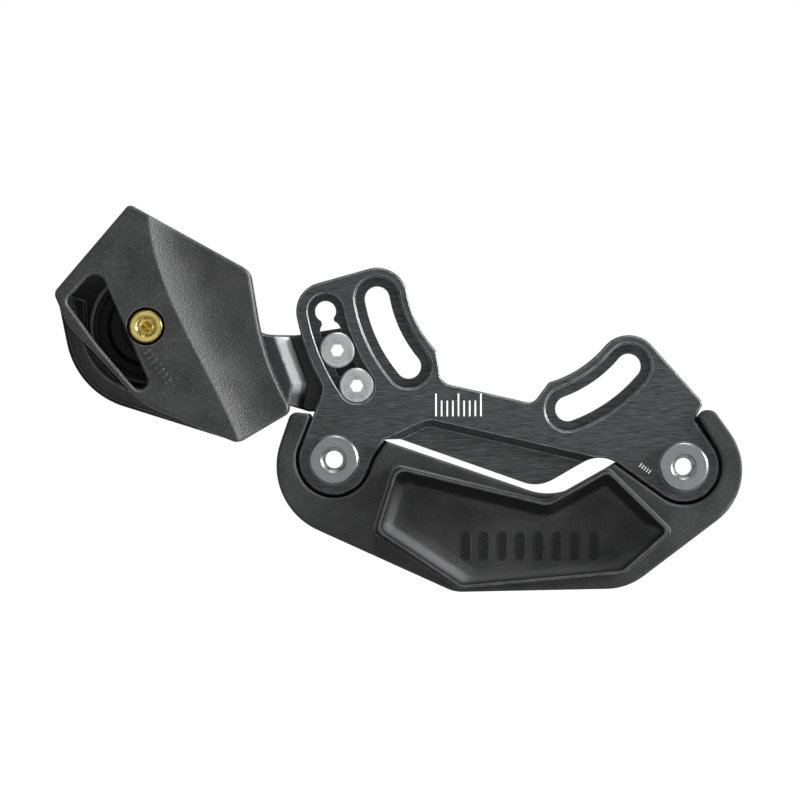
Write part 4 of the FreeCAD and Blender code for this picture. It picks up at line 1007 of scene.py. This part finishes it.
@dataclass
class BackPlateSet:
    """The milled back plate, its arm bolts and the printed scale and dashes on its face."""

    scale: Row = Row(
        "plate_scale", Bar(0.00042, 0.0040, 0.00003), 9, 0.001425, (-0.0210, -0.005, -0.0362),
        long_every=4, long_scale=1.45,
    )
    dashes: Row = Row(
        "plate_dashes", Bar(0.00026, 0.0011, 0.00003), 5, 0.00072, (0.0306, -0.005, -0.0490), 38.0
    )

    def dress(self, wardrobe: Wardrobe) -> None:
        """Finish the CAD nodes of this set.

        Args:
            wardrobe: Puts finishes on CAD nodes.
        """
        wardrobe.put(
            BrushedAnodised(
                "black_anodised_plate", (0.030, 0.0305, 0.0315), 0.42, metallic=0.30, specular=0.25
            ),
            Piece.PLATE,
        )
        for piece in (Piece.ARM_BOLT_UPPER, Piece.ARM_BOLT_LOWER):
            steel = TurnedMetal(
                "steel_" + piece.value, (0.37, 0.375, 0.38), 0.45, metallic=0.9, axis=piece.axis(),
                ring_step=0.25, grease_and_shade=(0.17, 0.17, 0.17), dirt_share=0.7, corner_share=0.5,
            )
            wardrobe.put(steel, piece)

    def prints(self, rows: BarRow, effects: Effects) -> list[bpy.types.Object]:
        """A plain scale of upright ticks and a small row of dashes, both printed white.

        Args:
            rows: The tree that repeats bars.
            effects: The shared groups.

        Returns:
            The printed pieces.
        """
        ink = PrintedInk("white_print", (0.78, 0.78, 0.78), 0.55).material(effects)
        return [rows.piece(row, ink) for row in (self.scale, self.dashes)]


@dataclass
class SkidPlateSet:
    """The moulded skid plate, the bolts and nuts through its ears and the pads in its dish."""

    row: Row = Row(
        "dish_pads", Bar(0.0024, 0.0074, 0.00016, bevel=0.00008, rounded=0.0012), 8, 0.0046,
        (-0.0132, -0.0054, -0.0728),
    )

    def dress(self, wardrobe: Wardrobe) -> None:
        """Finish the CAD nodes of this set.

        Args:
            wardrobe: Puts finishes on CAD nodes.
        """
        nylon = DishedNylon(
            "skid_plate_nylon", (0.031, 0.0313, 0.032), 0.62, specular=0.06, grain_size=0.32,
            grain_depth=0.00004, edge_share=0.35, edge_soft=0.35,
        )
        wardrobe.put(nylon, Piece.GUARD)
        for piece in (Piece.EAR_BOLT_REAR, Piece.EAR_BOLT_FRONT):
            steel = TurnedMetal(
                "steel_" + piece.value, (0.19, 0.195, 0.20), 0.34, metallic=0.95,
                axis=piece.axis(), ring_step=0.18,
            )
            wardrobe.put(steel, piece)
        for piece, bolt in (
            (Piece.EAR_NUT_REAR, Piece.EAR_BOLT_REAR), (Piece.EAR_NUT_FRONT, Piece.EAR_BOLT_FRONT),
        ):
            nut = TurnedMetal(
                "nut_" + piece.value, (0.20, 0.20, 0.21), 0.45, metallic=0.9, axis=bolt.axis(),
                ring_step=0.3,
            )
            wardrobe.put(nut, piece)

    def pads(self, rows: BarRow, effects: Effects) -> bpy.types.Object:
        """A plain row of low, smooth pads on the floor of the dish.

        Args:
            rows: The tree that repeats bars.
            effects: The shared groups.

        Returns:
            The row of pads.
        """
        smooth = MouldedNylon(
            "smooth_pad_nylon", (0.006, 0.0061, 0.0064), 0.45, specular=0.12, grain_size=0.28,
            edge_share=0.12,
        )
        return rows.piece(self.row, smooth.material(effects))


@dataclass
class LowerGuideSet:
    """The arm, both halves of the lower guide, the gold bolt and the raised dashes below it."""

    row: Row = Row(
        "guide_dashes", Bar(0.00062, 0.0021, 0.00024, bevel=0.00010, rounded=0.00031), 7, 0.0015,
        (-0.0943, 0.0, -0.0206), 54.0,
    )

    def dress(self, wardrobe: Wardrobe) -> None:
        """Finish the CAD nodes of this set.

        Args:
            wardrobe: Puts finishes on CAD nodes.
        """
        arm = MilledArm(
            "black_anodised_arm", (0.026, 0.0265, 0.0275), 0.45, metallic=0.30, specular=0.25,
            line_width=0.14, line_length=3.0, contrast=0.3, edge_share=0.5,
        )
        outer = MouldedNylon(
            "outer_half_nylon", (0.028, 0.0283, 0.029), 0.44, specular=0.17, grain_size=0.42,
            grain_depth=0.00016, edge_share=0.38,
        )
        inner = MouldedNylon(
            "inner_half_nylon", (0.011, 0.0112, 0.0118), 0.70, specular=0.05, grain_size=0.28,
            edge_share=0.45,
        )
        gold = TurnedMetal(
            "gold_anodised", (0.58, 0.46, 0.15), 0.14, metallic=1.0, axis=Piece.CAGE_BOLT.axis(),
            ring_step=0.35, ring_depth=0.000006, grease_and_shade=(0.06, 0.036, 0.006), socket=1.5,
            socket_shade_share=0.4, corner_share=1.0, corner_reach=0.4,
        )
        wardrobe.put(arm, Piece.ARM)
        wardrobe.put(outer, Piece.CAGE_OUTER)
        wardrobe.put(inner, Piece.CAGE_INNER)
        wardrobe.put(gold, Piece.CAGE_BOLT)
        for piece in (Piece.CAGE_SCREW_UPPER, Piece.CAGE_SCREW_LOWER):
            screw = TurnedMetal(
                "steel_" + piece.value, (0.16, 0.16, 0.165), 0.42, metallic=0.9, axis=piece.axis()
            )
            wardrobe.put(screw, piece)

    def dashes(self, rows: BarRow, effects: Effects) -> bpy.types.Object:
        """A plain row of raised dashes below the gold bolt, moulded with the outer half.

        Args:
            rows: The tree that repeats bars.
            effects: The shared groups.

        Returns:
            The row of dashes.
        """
        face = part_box(Piece.CAGE_OUTER.value)[0][1]
        row = replace(self.row, place=(self.row.place[0], face, self.row.place[2]))
        dull = MouldedNylon(
            "raised_dash_nylon", (0.010, 0.010, 0.0105), 0.50, specular=0.2, edge_share=0.35
        )
        return rows.piece(row, dull.material(effects))


@dataclass
class RollerSet:
    """The roller, its bearing and the sleeve it turns on."""

    def dress(self, wardrobe: Wardrobe) -> None:
        """Finish the CAD nodes of this set.

        Args:
            wardrobe: Puts finishes on CAD nodes.
        """
        axis = Piece.CAGE_BOLT.axis()
        hub = TurnedMetal(
            "black_acetal_hub", (0.006, 0.006, 0.0065), 0.40, specular=0.10, axis=axis,
            ring_step=0.3, grease_and_shade=(0.02, 0.02, 0.02),
        )
        alloy = TurnedMetal(
            "plain_alloy", (0.55, 0.56, 0.58), 0.35, metallic=0.95, axis=axis, ring_step=0.15
        )
        ground = TurnedMetal(
            "ground_steel", (0.60, 0.61, 0.63), 0.18, metallic=1.0, axis=axis, ring_step=0.08,
            dirt_share=0.15,
        )
        dark = TurnedMetal(
            "black_anodised_spacer", (0.008, 0.008, 0.0085), 0.40, metallic=0.2, specular=0.12,
            axis=axis, ring_step=0.15, grease_and_shade=(0.03, 0.03, 0.03),
        )
        rubber = TurnedMetal(
            "moulded_seal", (0.008, 0.008, 0.0085), 0.50, specular=0.10, axis=axis, ring_step=0.2,
            grease_and_shade=(0.03, 0.03, 0.03),
        )
        tyre = SoftTyre("soft_tyre", (0.085, 0.085, 0.087), 0.50, specular=0.25)
        cage = MouldedNylon(
            "natural_nylon", (0.45, 0.36, 0.24), 0.55, edge_colour=(0.55, 0.46, 0.33)
        )
        wardrobe.put(hub, Piece.HUB)
        wardrobe.put(tyre, Piece.TYRE)
        wardrobe.put(alloy, Piece.SLEEVE)
        wardrobe.put(dark, Piece.SPACER)
        wardrobe.put(ground, Piece.RACE_INNER, Piece.RACE_OUTER, Piece.BALLS)
        wardrobe.put(rubber, Piece.SHIELD_INNER, Piece.SHIELD_OUTER)
        wardrobe.put(cage, Piece.RETAINER)


# Light, floor and camera


@dataclass(frozen=True)
class Lamp:
    """One square area lamp: its name, where it hangs, its side in metres and its power."""

    name: str
    place: Place
    wide: float
    watts: float

    def hang(self, aim: Place) -> None:
        """Add the lamp to the scene.

        Args:
            aim: The point that it faces.
        """
        data = bpy.data.lights.new(self.name, "AREA")
        data.shape = "SQUARE"
        data.size = self.wide
        data.energy = self.watts
        made = bpy.data.objects.new(self.name, data)
        turn = (Vector(aim) - Vector(self.place)).to_track_quat("-Z", "Y")
        made.matrix_world = Matrix.Translation(self.place) @ turn.to_matrix().to_4x4()
        bpy.context.scene.collection.objects.link(made)


@dataclass
class Studio:
    """Plain pale floor, soft lamps and a camera at the photograph's view."""

    lens: float = 265.9
    sensor: float = 36.0
    clip: Range = (0.05, 60.0)
    stand: Place = (-0.030146, -1.505, -0.032060)
    aim: Place = (-0.03, 0.0, -0.03)
    lamps: tuple[Lamp, ...] = (
        Lamp("side", (1.05, -0.18, 0.24), 0.40, 43.0),
        Lamp("rim", (0.80, 0.92, 0.40), 0.50, 12.0),
        Lamp("top", (0.12, -0.34, 1.05), 0.40, 10.5),
        Lamp("left", (-1.05, -0.50, 0.10), 0.50, 3.0),
        Lamp("front", (0.45, -1.10, 0.40), 0.6, 0.6),
    )
    floor_level: float = -0.142
    floor_half: float = 6.0
    floor_colour: Colour = (0.55, 0.55, 0.55)
    floor_roughness: float = 0.9
    floor_seen: float = 0.86
    floor_reflected: float = 0.25
    world_reflected: float = 0.92
    surround: float = 0.16

    def camera(self) -> None:
        """Add the camera, level and looking along +Y."""
        data = bpy.data.cameras.new("camera")
        data.lens = self.lens
        data.sensor_width = self.sensor
        data.clip_start, data.clip_end = self.clip
        made = bpy.data.objects.new("camera", data)
        made.location = self.stand
        made.rotation_euler = (math.pi / 2.0, 0.0, 0.0)
        bpy.context.scene.collection.objects.link(made)
        bpy.context.scene.camera = made

    def floor(self) -> bpy.types.Object:
        """Make a pale floor that keeps the shadow and reads white to the camera.

        Returns:
            The floor.
        """
        material = bpy.data.materials.new("pale_floor")
        material.use_nodes = True
        shader = Shader(material.node_tree)
        surface = material.node_tree.nodes["Principled BSDF"].inputs
        shader.feed(surface["Base Color"], self.floor_colour)
        shader.feed(surface["Roughness"], self.floor_roughness)
        shader.feed(surface["Emission Color"], (1.0, 1.0, 1.0))
        seen = self.seen(shader, self.floor_reflected)
        shader.wire(shader.math("MULTIPLY", seen, self.floor_seen), surface["Emission Strength"])
        build = bmesh.new()
        bmesh.ops.create_grid(build, x_segments=1, y_segments=1, size=self.floor_half)
        bmesh.ops.translate(build, verts=build.verts, vec=(0.0, 0.0, self.floor_level))
        data = bpy.data.meshes.new("floor")
        build.to_mesh(data)
        build.free()
        data.materials.append(material)
        made = bpy.data.objects.new("floor", data)
        bpy.context.scene.collection.objects.link(made)
        return made

    @staticmethod
    def seen(shader: Shader, reflected: float) -> bpy.types.NodeSocket:
        """1 for rays from the camera and through glass, less for reflections, else 0.

        Args:
            shader: Calls for a material's or the world's tree.
            reflected: What reflections see of it.

        Returns:
            The mask's socket.
        """
        path = shader.add("LightPath").outputs
        glossy = shader.math("MULTIPLY", path["Is Glossy Ray"], reflected)
        both = shader.math("ADD", path["Is Camera Ray"], glossy, clamp=True)
        return shader.math("ADD", both, path["Is Transmission Ray"], clamp=True)

    def world(self) -> None:
        """A white surround whose light on the object is weaker than what the camera sees."""
        world = bpy.data.worlds.new("surround")
        bpy.context.scene.world = world
        world.use_nodes = True
        shader = Shader(world.node_tree)
        back = world.node_tree.nodes["Background"].inputs
        shader.feed(back["Color"], (1.0, 1.0, 1.0))
        seen = self.seen(shader, self.world_reflected)
        strength = shader.math("MULTIPLY_ADD", seen, 1.0 - self.surround, self.surround)
        shader.wire(strength, back["Strength"])

    def build(self) -> None:
        """Camera, lamps, floor and world."""
        self.camera()
        for lamp in self.lamps:
            lamp.hang(self.aim)
        self.floor()
        self.world()
        bpy.context.scene.view_settings.view_transform = "Standard"


def main() -> None:
    """Load the frame, dress it and light it."""
    logging.basicConfig(level=logging.INFO, format="%(message)s")
    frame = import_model()
    effects = Effects()
    Studio().build()
    plate, skid, guide = BackPlateSet(), SkidPlateSet(), LowerGuideSet()
    wardrobe = Wardrobe(frame["nodes"], effects)
    for assembly in (plate, skid, guide, RollerSet()):
        assembly.dress(wardrobe)
    rows = BarRow()
    for piece in plate.prints(rows, effects):
        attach(piece, "frame_side")
    pads = skid.pads(rows, effects)
    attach(pads, "frame_side")
    dashes = guide.dashes(rows, effects)
    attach(dashes, "frame_side")


if __name__ == "__main__":
    main()
